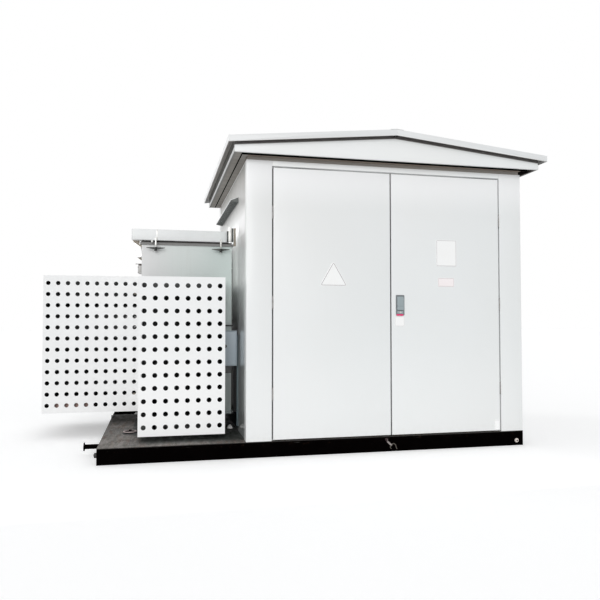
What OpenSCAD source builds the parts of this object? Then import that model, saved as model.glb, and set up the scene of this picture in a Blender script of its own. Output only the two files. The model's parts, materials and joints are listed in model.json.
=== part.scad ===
// Compact substation: a gabled sheet-metal cabin with a two-leaf front door,
// and an oil transformer with guarded radiator banks on the same base frame.
// Millimetres, +Z up, +X to the right seen from the doors, +Y to the rear.
// The origin is on the ground, at the middle of the base frame.

/* [Base frame] */
// Length of the base frame
base_l = 3800; // [3400:10:4400]
// Depth of the base frame and of the cabin
base_w = 2400; // [2200:10:2800]
// Height of the base channels
channel_h = 128; // [110:1:200]
// Width of a channel's flanges
channel_flange = 58; // [45:1:80]
// Thickness of a channel's web
channel_web = 8; // [6:0.5:12]
// Thickness of a channel's flanges
channel_flange_t = 10; // [7:0.5:14]
// Thickness of the deck and floor plates
deck_t = 6; // [4:0.5:10]
// Number of cross members under the deck
cross_count = 5; // [3:2:7]
// Distance from the base's front to the deck's lifting ring
ring_y = 710; // [500:10:800]
// Outer diameter of the deck's lifting ring
ring_d = 124; // [100:1:140]
// Depth of the black plate along the rear of the bay
rear_plate_d = 520; // [300:10:700]
// Width of the narrow deck plate along the cabin
side_plate_w = 950; // [700:10:1000]
// Gap between two deck plates
plate_gap = 3; // [2:0.5:6]

/* [Cabin] */
// Width of the cabin
cabin_w = 2600; // [2400:10:2800]
// Height of the cabin walls above the floor
wall_h = 2402; // [2200:1:2600]
// Thickness of the insulated wall panels
wall_t = 50; // [30:1:80]
// How far the side and rear walls sit behind the corner posts
wall_recess = 8; // [4:1:15]
// Width of a corner post on the front and rear
post_w = 221; // [150:1:260]
// Width of a corner post on the sides
post_d = 110; // [90:1:180]
// Sheet thickness of posts, doors, header and roof
sheet_t = 3; // [2:0.5:4]
// Number of vertical sheets in a side wall
side_sheets = 6; // [4:1:8]
// Number of vertical sheets in the rear wall
rear_sheets = 6; // [4:1:8]
// Width and depth of the groove between two wall sheets
seam = 5; // [3:1:8]

/* [Doors] */
// Depth of a door leaf
leaf_t = 40; // [30:1:50]
// Gap round each door leaf
leaf_gap = 12; // [12:0.5:18]
// Height of the header over the doorway
header_h = 46; // [40:1:120]
// Number of stiffeners on the back of a leaf
rib_count = 4; // [2:1:6]
// Depth of a leaf stiffener
rib_d = 25; // [15:1:27]
// Number of hinges on a leaf
hinge_count = 3; // [2:1:4]
// Diameter of a hinge barrel
hinge_d = 9; // [8:0.5:10]
// Diameter of a hinge pin
hinge_pin_d = 5; // [4:0.5:6]
// Length of one half of a hinge barrel
hinge_half = 55; // [40:1:80]
// How far the door stops reach behind the leaves
stop_reach = 24; // [15:1:40]

/* [Door lock] */
// Width of the lock plate
lock_w = 80; // [60:1:90]
// Height of the lock plate
lock_h = 168; // [140:1:200]
// Height of the lock's middle above the floor
lock_z = 1169; // [900:1:1300]
// Distance from the leaf's free edge to the lock plate
lock_inset = 40; // [30:1:70]

/* [Roof] */
// How far the roof pans reach past the walls
pan_over = 176; // [140:1:220]
// How far the fascia reaches past the walls
fascia_over = 118; // [80:1:135]
// Height of the lip round the roof pans
pan_lip = 55; // [40:1:70]
// Rise of the roof from the eaves to the ridge
roof_rise = 147; // [100:1:250]
// Height of the fascia below the pan's lip at the eaves
fascia_drop = 64; // [50:1:100]
// Height of the frame between walls and soffit
neck_h = 29; // [20:1:60]
// How far that frame sits behind the wall faces
neck_recess = 12; // [5:1:25]
// Thickness of the fascia panels
fascia_t = 20; // [15:1:30]
// Width of the ridge strip
ridge_w = 120; // [80:1:200]

/* [Wall vents] */
// Distance from a vent's rear end to the cabin's rear
vent_inset = 280; // [150:5:400]
// How far a vent hood stands out
vent_out = 78; // [45:1:90]
// Height of a vent hood on the wall
vent_h = 56; // [50:1:120]
// Distance from the top of the wall to the hood
vent_drop = 201; // [120:1:400]
// Distance from the cabin's front to the hood
vent_setback = 630; // [400:5:700]
// Number of slats in a vent
vent_slats = 7; // [4:1:10]
// Width of the wall left round a vent slot
vent_rim = 16; // [12:1:24]

/* [Transformer tank] */
// Width of the tank
tank_w = 830; // [760:5:840]
// Length of the tank from front to rear
tank_l = 1570; // [1450:5:1650]
// Gap between the tank and the cabin wall
tank_gap = 50; // [30:1:80]
// Distance from the base's front to the tank
tank_setback = 660; // [620:5:700]
// Height of the skids under the tank
skid_h = 150; // [100:1:200]
// Height of the tank body
tank_h = 1598; // [1500:1:1650]
// Height of the tank's cover
cover_h = 100; // [70:1:140]
// How far the cover reaches past the tank's left side
cover_over = 88; // [60:1:110]
// Thickness of the tank rim
rim_t = 22; // [16:1:30]
// Distance from the tank's sides to the cover clamps
clamp_inset = 140; // [90:5:200]
// Drop of the gussets under the cover's overhang
gusset_h = 64; // [50:1:90]
// Distance from the tank's front to the oil valve
valve_y = 130; // [80:5:200]
// Distance from the tank's rim down to the oil valve
valve_drop = 234; // [180:1:280]
// Diameter of the oil valve's flange
valve_d = 100; // [80:1:120]
// Thickness of the gasket between rim and cover
gasket_t = 14; // [6:1:20]

/* [Radiators] */
// Distance between two fins
fin_pitch = 46; // [40:1:60]
// Thickness of a fin
fin_t = 10; // [8:0.5:14]
// Height of a fin
fin_h = 1130; // [1000:10:1200]
// Diameter of the header pipes
header_d = 76; // [60:1:90]
// Depth of the fins of the front bank
front_fin_w = 375; // [330:5:380]
// Gap between the two left banks
bank_gap = 20; // [10:1:60]
// Gap between the left banks and the guard round them
bank_room = 20; // [10:1:40]
// Height of the fins' lower edge above the deck
fin_lift = 160; // [140:5:200]
// Distance from a fin's ends to the header pipes
header_inset = 70; // [60:1:90]

/* [Radiator guards] */
// Distance between two holes along a guard
hole_pitch_x = 92; // [84:1:94]
// Distance between two holes up a guard
hole_pitch_z = 110; // [100:1:112]
// Diameter of the ventilation holes
hole_d = 42; // [30:1:50]
// Rows of holes in a guard
hole_rows = 12; // [8:1:12]
// Holes across the front guard
front_cols = 8; // [7:1:8]
// Holes across the left guard
left_cols = 10; // [8:1:11]
// Distance from the outer holes to a guard's top and bottom edges
guard_margin = 76.5; // [60:0.5:80]
// Sheet thickness of the guards
guard_t = 3; // [2:0.5:4]
// Depth of the folded edge round a guard
guard_fold = 22; // [15:1:30]
// Distance from the base's front to the front guard
front_guard_y = 220; // [180:5:260]
// Height of the front guard above the deck
front_guard_z = 40; // [20:1:120]
// Distance from the base's front to the left guard
left_guard_y = 1300; // [1260:5:1320]
// Height of the left guard above the deck
left_guard_z = 111; // [60:1:160]
// Distance from the tank's rear to the left guard's rear
left_guard_inset = 10; // [0:5:30]
// Distance from a guard's top and bottom to its brackets
bracket_inset = 120; // [80:5:200]
// Gap between the left guard and the tank
left_guard_gap = 35; // [20:1:60]

/* [Fittings] */
// Diameter of a lifting pin
lift_d = 40; // [30:1:50]
// Length of a lifting pin outside the base
lift_l = 140; // [100:1:160]
// Length left outside by a lifting pin that is pushed in
lift_in_l = 24; // [20:1:60]
// Height of the lifting pins above the ground
lift_z = 78; // [60:1:85]
// Diameter of the disc on a lifting pin's end
lift_disc = 72; // [55:1:80]
// Distance from the base's front and rear to the lifting pins
lift_inset = 400; // [300:10:600]
// Diameter of an earthing stud
stud_d = 12; // [10:1:16]
// Diameter of the collar under an earthing stud
stud_collar_d = 38; // [30:1:45]
// Length of an earthing stud with its collar
stud_l = 38; // [30:1:50]
// Width of the junction box
jbox_w = 138; // [110:1:145]
// Height of the junction box
jbox_h = 327; // [250:1:400]
// Depth of the junction box
jbox_d = 90; // [60:1:120]
// Height of the junction box above the deck
jbox_z = 603; // [400:1:700]
// Gap between the junction box and the cabin wall
jbox_gap = 8; // [5:1:12]

/* [Hidden] */
$fn = 48;
bite = 1;       // how far a cutter passes a face
seat = 0.3;     // gap between sheets that lie on each other

// Datums
left_end = -base_l / 2;
right_end = base_l / 2;
front = -base_w / 2;
back = base_w / 2;
deck_z = channel_h + deck_t;
cab_left = right_end - cabin_w;
cab_mid = cab_left + cabin_w / 2;
wall_top = deck_z + wall_h;
soffit_z = wall_top + neck_h;

// Doorway and leaves
hinge_left = cab_left + post_w + leaf_gap / 2;
hinge_right = right_end - post_w - leaf_gap / 2;
leaf_w = (hinge_right - hinge_left - 2 * leaf_gap) / 2;
floor_gap = 10;
leaf_z = deck_z + floor_gap;
leaf_h = wall_h - header_h - leaf_gap - floor_gap;
stop_gap = 6;
pin_clear = 0.05;
tab_t = leaf_gap / 2 - 2;
tab_d = 25;

// Vents
vent_l = base_w - vent_setback - vent_inset;
vent_top = wall_top - vent_drop;
vent_nose = 8;
vent_fall = vent_out * 0.42;

// Roof
slope = roof_rise / (cabin_w / 2 + pan_over);
lip_z = soffit_z + fascia_drop;
pan_w = cabin_w / 2 + pan_over;
function pan_under(x) = lip_z + pan_lip - sheet_t - seat
    + slope * (pan_w - abs(x - cab_mid));

// Tank
tank_x = cab_left - tank_gap - tank_w;
tank_y = front + tank_setback;
tank_z = deck_z + skid_h;
tank_mid_x = tank_x + tank_w / 2;
tank_back = tank_y + tank_l;
rim_z = tank_z + tank_h;
cover_z = rim_z + gasket_t;
cover_front_over = 60;
cover_right_in = 30;
base_plate_t = 20;
base_plate_over = 20;

// Guards
guard_h = (hole_rows - 1) * hole_pitch_z + 2 * guard_margin;
front_guard_w = front_cols * hole_pitch_x;
front_guard_x = tank_x - 10;
front_guard_front = front + front_guard_y;
front_guard_depth = tank_y - base_plate_over - front_guard_front;
left_guard_w = left_cols * hole_pitch_x;
left_guard_right = tank_x - left_guard_gap;
left_guard_left = left_guard_right - left_guard_w;
left_guard_front = front + left_guard_y;
left_guard_d = tank_back - left_guard_inset - left_guard_front;

// Radiators
front_fin_count = floor((front_guard_w - 2 * guard_fold - 2 * fin_t) / fin_pitch);
front_fin_y = front_guard_front + guard_fold + 14;
fin_z = deck_z + fin_lift;
left_fin_w = (left_guard_d - 2 * guard_fold - 2 * bank_room - bank_gap) / 2;
left_fin_count = floor((left_guard_w - guard_fold - 40) / fin_pitch);

// ---- shared shapes -------------------------------------------------------

// Rectangle with rounded corners, its lowest corner at the origin
module round_rect(w, h, r) {
    translate([r, 0]) square([w - 2 * r, h]);
    translate([0, r]) square([w, h - 2 * r]);
    for (x = [r, w - r], y = [r, h - r]) translate([x, y]) circle(r);
}

// Outline in X and Z, drawn from the front and pushed back by depth
module upright(depth) {
    translate([0, depth, 0]) rotate([90, 0, 0]) linear_extrude(depth) children();
}

// Channel section: web on the left, flanges to the right
module channel_section(h, flange, web, flange_thickness) {
    difference() {
        square([flange, h]);
        translate([web, flange_thickness])
            square([flange, h - 2 * flange_thickness]);
    }
}

// Channel running along +Y with its web at x = 0
module channel_bar(len) {
    upright(len) channel_section(channel_h, channel_flange, channel_web,
        channel_flange_t);
}

// Channel along +Y with both ends mitred at 45 degrees
module mitred_channel(len) {
    reach = channel_flange + bite;
    difference() {
        channel_bar(len);
        for (far = [0, 1]) translate([0, far * len, 0]) mirror([0, far, 0])
            translate([0, 0, -bite]) linear_extrude(channel_h + 2 * bite)
                polygon([[0, 0], [reach, reach], [reach, -bite], [0, -bite]]);
    }
}

// ---- base ----------------------------------------------------------------

module base_long_channels() {
    color("#161515") {
        translate([left_end, front, 0]) mirror([1, -1, 0])
            mitred_channel(base_l);
        translate([right_end, back, 0]) rotate([0, 0, 180])
            mirror([1, -1, 0]) mitred_channel(base_l);
    }
}

module base_end_channels() {
    color("#161515") {
        translate([left_end, front, 0]) mitred_channel(base_w);
        translate([right_end, back, 0]) rotate([0, 0, 180])
            mitred_channel(base_w);
    }
}

// Cross member coped round the flanges of the long channels
module cross_member() {
    clear_w = base_w - 2 * channel_web;
    cope = channel_flange - channel_web;
    difference() {
        translate([-channel_web / 2, -clear_w / 2, 0]) channel_bar(clear_w);
        for (end = [-1, 1], z = [-bite, channel_h - channel_flange_t])
            translate([-channel_flange, end * (clear_w / 2 - cope / 2)
                - (cope + bite) / 2 + end * bite / 2, z])
                cube([2 * channel_flange, cope + bite,
                    channel_flange_t + bite]);
    }
}

module base_cross_members() {
    pitch = base_l / (cross_count + 1);
    color("#161515")
        for (i = [1 : cross_count])
            translate([left_end + i * pitch, 0, 0]) cross_member();
}

module bay_deck() {
    plate_l = base_w - rear_plate_d - plate_gap;
    seam_x = cab_left - side_plate_w;
    color("#6f6862") {
        translate([left_end, front, channel_h])
            cube([seam_x - left_end - plate_gap, plate_l, deck_t]);
        translate([seam_x, front, channel_h])
            cube([side_plate_w, plate_l, deck_t]);
    }
}

module bay_rear_plate() {
    color("#1a1918") translate([left_end, back - rear_plate_d, channel_h])
        cube([cab_left - left_end, rear_plate_d, deck_t]);
}

// Lifting ring of the deck plate, lying flat in its eye
module deck_handle() {
    rod = 14;
    eye_w = 24;
    eye_h = 20;
    tank_clear = 29;
    ring_r = (ring_d - rod) / 2;
    color("#2c2a28") translate([tank_x - tank_clear - ring_d / 2,
        front + ring_y, deck_z]) {
            translate([0, 0, rod / 2]) rotate_extrude()
                translate([ring_r, 0]) circle(d = rod, $fn = 12);
            translate([-eye_w / 2, ring_r - rod / 2, 0])
                cube([eye_w, rod, eye_h]);
        }
}

module cabin_floor() {
    color("#6f6862") translate([cab_left, front, channel_h])
        cube([cabin_w, base_w, deck_t]);
}

// Bollard with a disc on its end, standing out along +X
module lifting_pin(out) {
    disc_t = 8;
    rotate([0, 90, 0]) {
        cylinder(h = out, d = lift_d);
        translate([0, 0, out - disc_t]) cylinder(h = disc_t, d = lift_disc);
    }
}

// The front pins are drawn out and the rear ones pushed in
module lifting_pins() {
    color("#2a2928") for (side = [0, 1]) mirror([side, 0, 0]) {
        translate([right_end, front + lift_inset, lift_z])
            lifting_pin(lift_l);
        translate([right_end, back - lift_inset, lift_z])
            lifting_pin(lift_in_l);
    }
}

// Stud with a collar, standing out along +Z
module earth_stud() {
    cylinder(h = stud_l / 3, d = stud_collar_d);
    cylinder(h = stud_l, d = stud_d);
}

module earth_studs() {
    inset = 48;
    color("#b9b3aa") {
        translate([left_end, front + inset, channel_h / 2])
            rotate([0, -90, 0]) earth_stud();
        translate([right_end - inset, front, channel_h / 2])
            rotate([90, 0, 0]) earth_stud();
    }
}

// Flat strap along +X that runs through points given in X and Z
module strap_run(points, w, t) {
    for (i = [1 : len(points) - 1]) {
        from = points[i - 1];
        to = points[i];
        turn = atan2(to[1] - from[1], to[0] - from[0]);
        translate([from[0], 0, from[1]]) rotate([0, -turn, 0])
            translate([0, -t, -w / 2]) cube([norm(to - from), t, w]);
        translate([to[0], 0, to[1]]) rotate([90, 0, 0])
            cylinder(h = t, d = w, $fn = 16);
    }
}

// Earthing strap on the middle of the front channel, hanging from a bolt
module earth_lug() {
    bolt_d = 24;
    strap_t = 6;
    color("#8f8b86") translate([cab_left + cabin_w * 0.48, front,
        channel_h * 0.85]) {
            rotate([90, 0, 0]) cylinder(h = 14, d = bolt_d);
            strap_run([[0, 0], [10, -20], [48, -53]], 15, strap_t);
            strap_run([[48, -53], [37, -65], [37, -75], [46, -82]], 6,
                strap_t);
            strap_run([[48, -53], [64, -39], [78, -43], [89, -56],
                [93, -74], [99, -87]], 7, strap_t);
        }
}

// ---- cabin ---------------------------------------------------------------

// Folded corner post: box section with a door stop on the doorway side.
// Its outer front corner is at the origin.
module post(stop) {
    linear_extrude(wall_h) difference() {
        square([post_w, post_d]);
        translate([sheet_t, sheet_t])
            square([post_w - 2 * sheet_t, post_d - 2 * sheet_t]);
    }
    if (stop) translate([post_w - bite, leaf_t + stop_gap, 0])
        cube([stop_reach + leaf_gap + bite, sheet_t, wall_h - header_h]);
}

module front_post_left() {
    color("#e4e8e8") translate([cab_left, front, deck_z]) post(true);
}

module front_post_right() {
    color("#e4e8e8") translate([right_end, front, deck_z])
        mirror([1, 0, 0]) post(true);
}

module rear_posts() {
    color("#e4e8e8") {
        translate([cab_left, back, deck_z]) mirror([0, 1, 0]) post(false);
        translate([right_end, back, deck_z]) rotate([0, 0, 180]) post(false);
    }
}

// Header over the doorway, with a stop behind the top of the leaves
module door_header() {
    inner_w = cabin_w - 2 * post_w;
    stop_drop = leaf_gap + stop_reach;
    color("#e4e8e8") translate([cab_left + post_w, front,
        wall_top - header_h]) {
            difference() {
                cube([inner_w, post_d, header_h]);
                translate([-bite, sheet_t, sheet_t])
                    cube([inner_w + 2 * bite, post_d - 2 * sheet_t,
                        header_h - 2 * sheet_t]);
            }
            translate([leaf_gap + stop_reach + seat, leaf_t + stop_gap,
                -stop_drop]) cube([inner_w - 2 * (leaf_gap + stop_reach + seat),
                    sheet_t, stop_drop + bite]);
        }
}

// Wall panel of upright sheets along +X with a groove at each joint.
// The outer face is at y = 0.
module wall_panel(len, h, sheets) {
    pitch = len / sheets;
    linear_extrude(h) difference() {
        square([len, wall_t]);
        for (i = [1 : sheets - 1]) translate([i * pitch - seam / 2, -bite])
            square([seam, seam + bite]);
    }
}

// Side wall from the left, its rear end at the origin, with a vent slot
module side_wall() {
    slot_h = vent_h * 0.5;
    rotate([0, 0, -90]) difference() {
        wall_panel(base_w - 2 * post_d, wall_h, side_sheets);
        translate([vent_inset - post_d + vent_rim, -bite,
            wall_h - vent_drop - vent_h + vent_rim])
                cube([vent_l - 2 * vent_rim, wall_t + 2 * bite, slot_h]);
    }
}

module left_wall() {
    color("#dfe2e0") translate([cab_left + wall_recess, back - post_d, deck_z])
        side_wall();
}

module right_wall() {
    color("#dfe2e0") translate([right_end - wall_recess, back - post_d,
        deck_z]) mirror([1, 0, 0]) side_wall();
}

module rear_wall() {
    color("#dfe2e0") translate([right_end - post_w, back - wall_recess,
        deck_z]) rotate([0, 0, 180])
            wall_panel(cabin_w - 2 * post_w, wall_h - header_h, rear_sheets);
}

module rear_header() {
    color("#e4e8e8") translate([cab_left + post_w, back - post_d,
        wall_top - header_h])
            cube([cabin_w - 2 * post_w, post_d, header_h]);
}

// ---- roof ----------------------------------------------------------------

module neck_frame_ends() {
    bar = 60;
    color("#8d8f8e")
        for (y = [front + neck_recess, back - neck_recess - bar])
            translate([cab_left + neck_recess, y, wall_top])
                cube([cabin_w - 2 * neck_recess, bar, neck_h]);
}

module neck_frame_sides() {
    bar = 60;
    color("#8d8f8e")
        for (x = [cab_left + neck_recess, right_end - neck_recess - bar])
            translate([x, front + neck_recess + bar, wall_top])
                cube([bar, base_w - 2 * (neck_recess + bar), neck_h]);
}

module roof_soffit() {
    inset = fascia_over - fascia_t;
    color("#5a5652") translate([cab_left - inset, front - inset, soffit_z])
        cube([cabin_w + 2 * inset, base_w + 2 * inset, sheet_t]);
}

// Gable-shaped fascia between the soffit level and the pans
module gable_fascia() {
    x0 = cab_left - fascia_over;
    x1 = right_end + fascia_over;
    upright(fascia_t) polygon([[x0, soffit_z], [x1, soffit_z],
        [x1, pan_under(x1)], [cab_mid, pan_under(cab_mid)],
        [x0, pan_under(x0)]]);
}

module fascia_front() {
    color("#e2e6e6") translate([0, front - fascia_over, 0]) gable_fascia();
}

module fascia_rear() {
    color("#e2e6e6") translate([0, back + fascia_over - fascia_t, 0])
        gable_fascia();
}

module fascia_sides() {
    x0 = cab_left - fascia_over;
    len = base_w + 2 * (fascia_over - fascia_t);
    color("#e2e6e6")
        for (side = [0, 1]) translate([cab_mid, 0, 0]) mirror([side, 0, 0])
            translate([-cab_mid, front - fascia_over + fascia_t, 0])
                upright(len) polygon([[x0, soffit_z],
                    [x0 + fascia_t, soffit_z],
                    [x0 + fascia_t, pan_under(x0 + fascia_t)],
                    [x0, pan_under(x0)]]);
}

// Left roof pan: sloping sheet with a lip on its eaves, front and rear
module pan() {
    x0 = cab_mid - pan_w;
    top0 = lip_z + pan_lip;
    top1 = top0 + roof_rise;
    len = base_w + 2 * pan_over;
    translate([0, front - pan_over, 0]) {
        upright(len) polygon([[x0, top0], [cab_mid, top1],
            [cab_mid, top1 - sheet_t], [x0, top0 - sheet_t]]);
        translate([x0, 0, lip_z]) cube([sheet_t, len, pan_lip - sheet_t / 2]);
        for (y = [0, len - sheet_t]) translate([0, y, 0])
            upright(sheet_t) polygon([[x0, lip_z], [cab_mid, lip_z + roof_rise],
                [cab_mid, top1 - sheet_t / 2], [x0, top0 - sheet_t / 2]]);
    }
}

module roof_pan_left() {
    color("#e6eaea") pan();
}

module roof_pan_right() {
    color("#e6eaea") translate([2 * cab_mid, 0, 0]) mirror([1, 0, 0]) pan();
}

module ridge_strip() {
    top = lip_z + pan_lip + roof_rise + seat;
    half = ridge_w / 2;
    color("#e6eaea") translate([0, front - pan_over, 0])
        upright(base_w + 2 * pan_over) polygon([[cab_mid, top],
            [cab_mid - half, top - half * slope],
            [cab_mid - half, top - half * slope + sheet_t],
            [cab_mid, top + sheet_t],
            [cab_mid + half, top - half * slope + sheet_t],
            [cab_mid + half, top - half * slope]]);
}

// ---- wall vents ----------------------------------------------------------

// Hood over a vent on the left wall: sloping top and nose
module vent_hood() {
    x0 = cab_left + wall_recess;
    xn = x0 - vent_out;
    top = [[x0, vent_top], [xn, vent_top - vent_fall],
        [xn, vent_top - vent_fall - vent_nose],
        [xn + sheet_t, vent_top - vent_fall - vent_nose],
        [xn + sheet_t, vent_top - vent_fall - sheet_t],
        [x0, vent_top - sheet_t]];
    translate([0, front + vent_setback, 0]) upright(vent_l) polygon(top);
}

module vent_hoods() {
    color("#d9dcdb")
        for (side = [0, 1]) translate([cab_mid, 0, 0]) mirror([side, 0, 0])
            translate([-cab_mid, 0, 0]) vent_hood();
}

// Slats that close the underside of a hood, between two cheeks
module vent_slat_row() {
    x0 = cab_left + wall_recess;
    xn = x0 - vent_out + sheet_t + seat;
    run = (vent_out - sheet_t) * 0.94;
    fall = (vent_h - vent_fall - vent_nose) * 0.94;
    slat_w = 4;
    slat_h = 9;
    slat_t = 2;
    roof = vent_top - sheet_t - seat;
    cheek = [[x0, roof], [x0, vent_top - vent_h],
        [xn, vent_top - vent_fall - vent_nose], [xn, roof - vent_fall]];
    translate([0, front + vent_setback, 0]) {
        for (i = [0 : vent_slats - 1]) {
            f = (i + 0.5) / vent_slats;
            translate([x0 - f * run, 0, vent_top - vent_h + f * fall])
                upright(vent_l) polygon([[0, 0], [0, slat_t],
                    [-slat_w, slat_h], [-slat_w, slat_h - slat_t]]);
        }
        for (y = [0, vent_l - sheet_t]) translate([0, y, 0])
            upright(sheet_t) polygon(cheek);
    }
}

module vent_slats_set() {
    color("#3c3d3c")
        for (side = [0, 1]) translate([cab_mid, 0, 0]) mirror([side, 0, 0])
            translate([-cab_mid, 0, 0]) vent_slat_row();
}

// ---- doors ---------------------------------------------------------------

// Leaf as a tray open to the rear, its outer front corner at the origin
module leaf() {
    difference() {
        cube([leaf_w, leaf_t, leaf_h]);
        translate([sheet_t, sheet_t, sheet_t])
            cube([leaf_w - 2 * sheet_t, leaf_t, leaf_h - 2 * sheet_t]);
    }
}

// Hat-section stiffeners across the inside of a leaf
module leaf_ribs() {
    hat = 50;
    brim = 16;
    pitch = leaf_h / rib_count;
    for (i = [0 : rib_count - 1])
        translate([sheet_t, sheet_t, (i + 0.5) * pitch - hat / 2])
            rotate([90, 0, 90]) linear_extrude(leaf_w - 2 * sheet_t)
                difference() {
                    union() {
                        translate([0, -brim]) square([sheet_t, hat + 2 * brim]);
                        square([rib_d, hat]);
                    }
                    translate([-bite, sheet_t])
                        square([rib_d - sheet_t + bite, hat - 2 * sheet_t]);
                }
}

module at_left_leaf() {
    translate([hinge_left + leaf_gap / 2, front, leaf_z]) children();
}

module at_right_leaf() {
    translate([hinge_right - leaf_gap / 2, front, leaf_z])
        mirror([1, 0, 0]) children();
}

module left_leaf() {
    color("#e4e8e8") at_left_leaf() leaf();
}

module right_leaf() {
    color("#e4e8e8") at_right_leaf() leaf();
}

module left_leaf_ribs() {
    color("#c9cccb") at_left_leaf() leaf_ribs();
}

module right_leaf_ribs() {
    color("#c9cccb") at_right_leaf() leaf_ribs();
}

function hinge_z(i) = leaf_z + leaf_h * (i + 0.5) / hinge_count - hinge_half;

// Fixed half of each hinge: barrel, pin and a tab on the post
module fixed_hinges() {
    for (i = [0 : hinge_count - 1]) translate([0, 0, hinge_z(i)]) {
        cylinder(h = hinge_half, d = hinge_d);
        cylinder(h = 2 * hinge_half - 4, d = hinge_pin_d);
        translate([-leaf_gap / 2, 0, 0]) cube([tab_t, tab_d, hinge_half]);
    }
}

// Moving half of each hinge: barrel with a bore, and a tab on the leaf
module moving_hinges() {
    for (i = [0 : hinge_count - 1])
        translate([0, 0, hinge_z(i) + hinge_half + 0.5]) difference() {
            union() {
                cylinder(h = hinge_half, d = hinge_d);
                translate([leaf_gap / 2 - tab_t, 0, 0])
                    cube([tab_t, tab_d, hinge_half]);
            }
            translate([0, 0, -bite])
                cylinder(h = hinge_half + 2 * bite,
                    d = hinge_pin_d + 2 * pin_clear);
        }
}

module hinge_pins() {
    color("#4a4c4c") {
        translate([hinge_left, front, 0]) fixed_hinges();
        translate([hinge_right, front, 0]) mirror([1, 0, 0]) fixed_hinges();
    }
}

module left_hinge_barrels() {
    color("#4a4c4c") translate([hinge_left, front, 0]) moving_hinges();
}

module right_hinge_barrels() {
    color("#4a4c4c") translate([hinge_right, front, 0])
        mirror([1, 0, 0]) moving_hinges();
}

lock_x = cab_mid + leaf_gap / 2 + lock_inset;
plate_t = 5;

module lock_plate() {
    color("#8f9aa3") translate([lock_x, front - plate_t,
        deck_z + lock_z - lock_h / 2])
            upright(plate_t) round_rect(lock_w, lock_h, 8);
}

module lock_handle() {
    handle_w = 34;
    handle_h = 118;
    handle_t = 14;
    color("#6d7880") translate([lock_x + (lock_w - handle_w) / 2,
        front - plate_t - handle_t, deck_z + lock_z + lock_h / 2 - handle_h
        - 14]) difference() {
            upright(handle_t) round_rect(handle_w, handle_h, handle_w / 2 - 1);
            translate([handle_w / 2, -bite, handle_w / 2])
                rotate([-90, 0, 0]) cylinder(h = 6, d = 18);
        }
}

// ---- transformer ---------------------------------------------------------

module tank_skids() {
    skid_w = 70;
    color("#1c1b1b")
        for (side = [0, 1]) translate([tank_mid_x, 0, 0])
            mirror([side, 0, 0]) translate([-tank_w / 2 + 60, tank_y + 40,
                deck_z]) upright(tank_l - 80)
                    channel_section(skid_h, skid_w, channel_web,
                        channel_flange_t);
}

module tank_body() {
    color("#cdd4d2") {
        translate([tank_x, tank_y, tank_z])
            cube([tank_w, tank_l, tank_h - rim_t]);
        translate([tank_x - base_plate_over, tank_y - base_plate_over, tank_z])
            cube([tank_w + 2 * base_plate_over, tank_l + 2 * base_plate_over,
                base_plate_t]);
    }
}

module tank_rim() {
    rim_over = 14;
    color("#b9c0be") translate([tank_x - rim_over, tank_y - rim_over,
        rim_z - rim_t]) cube([tank_w + 2 * rim_over, tank_l + 2 * rim_over,
            rim_t]);
    color("#2b2b2a") translate([tank_x, tank_y, rim_z - bite])
        cube([tank_w, tank_l, gasket_t + bite]);
}

module tank_cover() {
    cover_w = tank_w + cover_over - cover_right_in;
    cover_l = tank_l + 2 * cover_front_over;
    color("#dcdfdd") translate([tank_x - cover_over,
        tank_y - cover_front_over, cover_z]) difference() {
            cube([cover_w, cover_l, cover_h]);
            for (x = [-bite, cover_w + bite], y = [-bite, cover_l + bite])
                translate([x, y, cover_h / 2]) rotate([0, 0, 45])
                    cube([8, 8, cover_h + 2 * bite], center = true);
        }
}

// C clamp holding the cover down, with a wing nut below. Faces -Y.
module clamp() {
    clamp_w = 20;
    reach = cover_front_over;
    wing_w = 150;
    wing_h = 34;
    hook = 20;
    drop = 62;
    // hook over the cover's lower edge and down past the rim
    translate([-clamp_w / 2, -10, 0]) cube([clamp_w, 10, hook]);
    translate([-clamp_w / 2, -10, -gasket_t - rim_t - 10])
        cube([clamp_w, 10, gasket_t + rim_t + 10 + bite]);
    translate([-clamp_w / 2, -10, -gasket_t - rim_t - 10])
        cube([clamp_w, reach - 16, 10]);
    translate([0, 14, -gasket_t - rim_t - drop]) cylinder(h = drop, d = 14);
    translate([0, 14 + 4, -gasket_t - rim_t - 30]) rotate([90, 0, 0])
        linear_extrude(8) polygon([[-wing_w / 2, 2], [-16, wing_h / 2],
            [16, wing_h / 2], [wing_w / 2, 2], [12, -wing_h / 2],
            [-12, -wing_h / 2]]);
}

module cover_clamps() {
    front_y = tank_y - cover_front_over;
    color("#c4c7c5") {
        for (x = [tank_x + clamp_inset, tank_x + tank_w - clamp_inset]) {
            translate([x, front_y, cover_z]) clamp();
            translate([x, tank_back + cover_front_over, cover_z])
                mirror([0, 1, 0]) clamp();
        }
    }
}

// Triangular brackets under the left overhang of the cover
module cover_gussets() {
    t = 10;
    inset = 8;
    edge = 8;
    lap = 20;
    below = gasket_t + rim_t + seat;
    reach = cover_over - edge;
    color("#8d8478")
        for (y = [tank_y + inset, tank_back - inset - t])
            translate([tank_x, y, cover_z]) upright(t)
                polygon([[-reach, 0], [-reach, -edge], [0, -gusset_h],
                    [0, -below], [-lap, -below], [-lap, 0]]);
}

// Closed duct between the tank and the cabin wall
module throat() {
    throat_l = 700;
    throat_h = 520;
    x0 = tank_x + tank_w;
    len = cab_left + wall_recess - x0;
    color("#c9d0ce") translate([x0, tank_y + (tank_l - throat_l) / 2,
        tank_z + tank_h * 0.55]) cube([len, throat_l, throat_h]);
}

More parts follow.
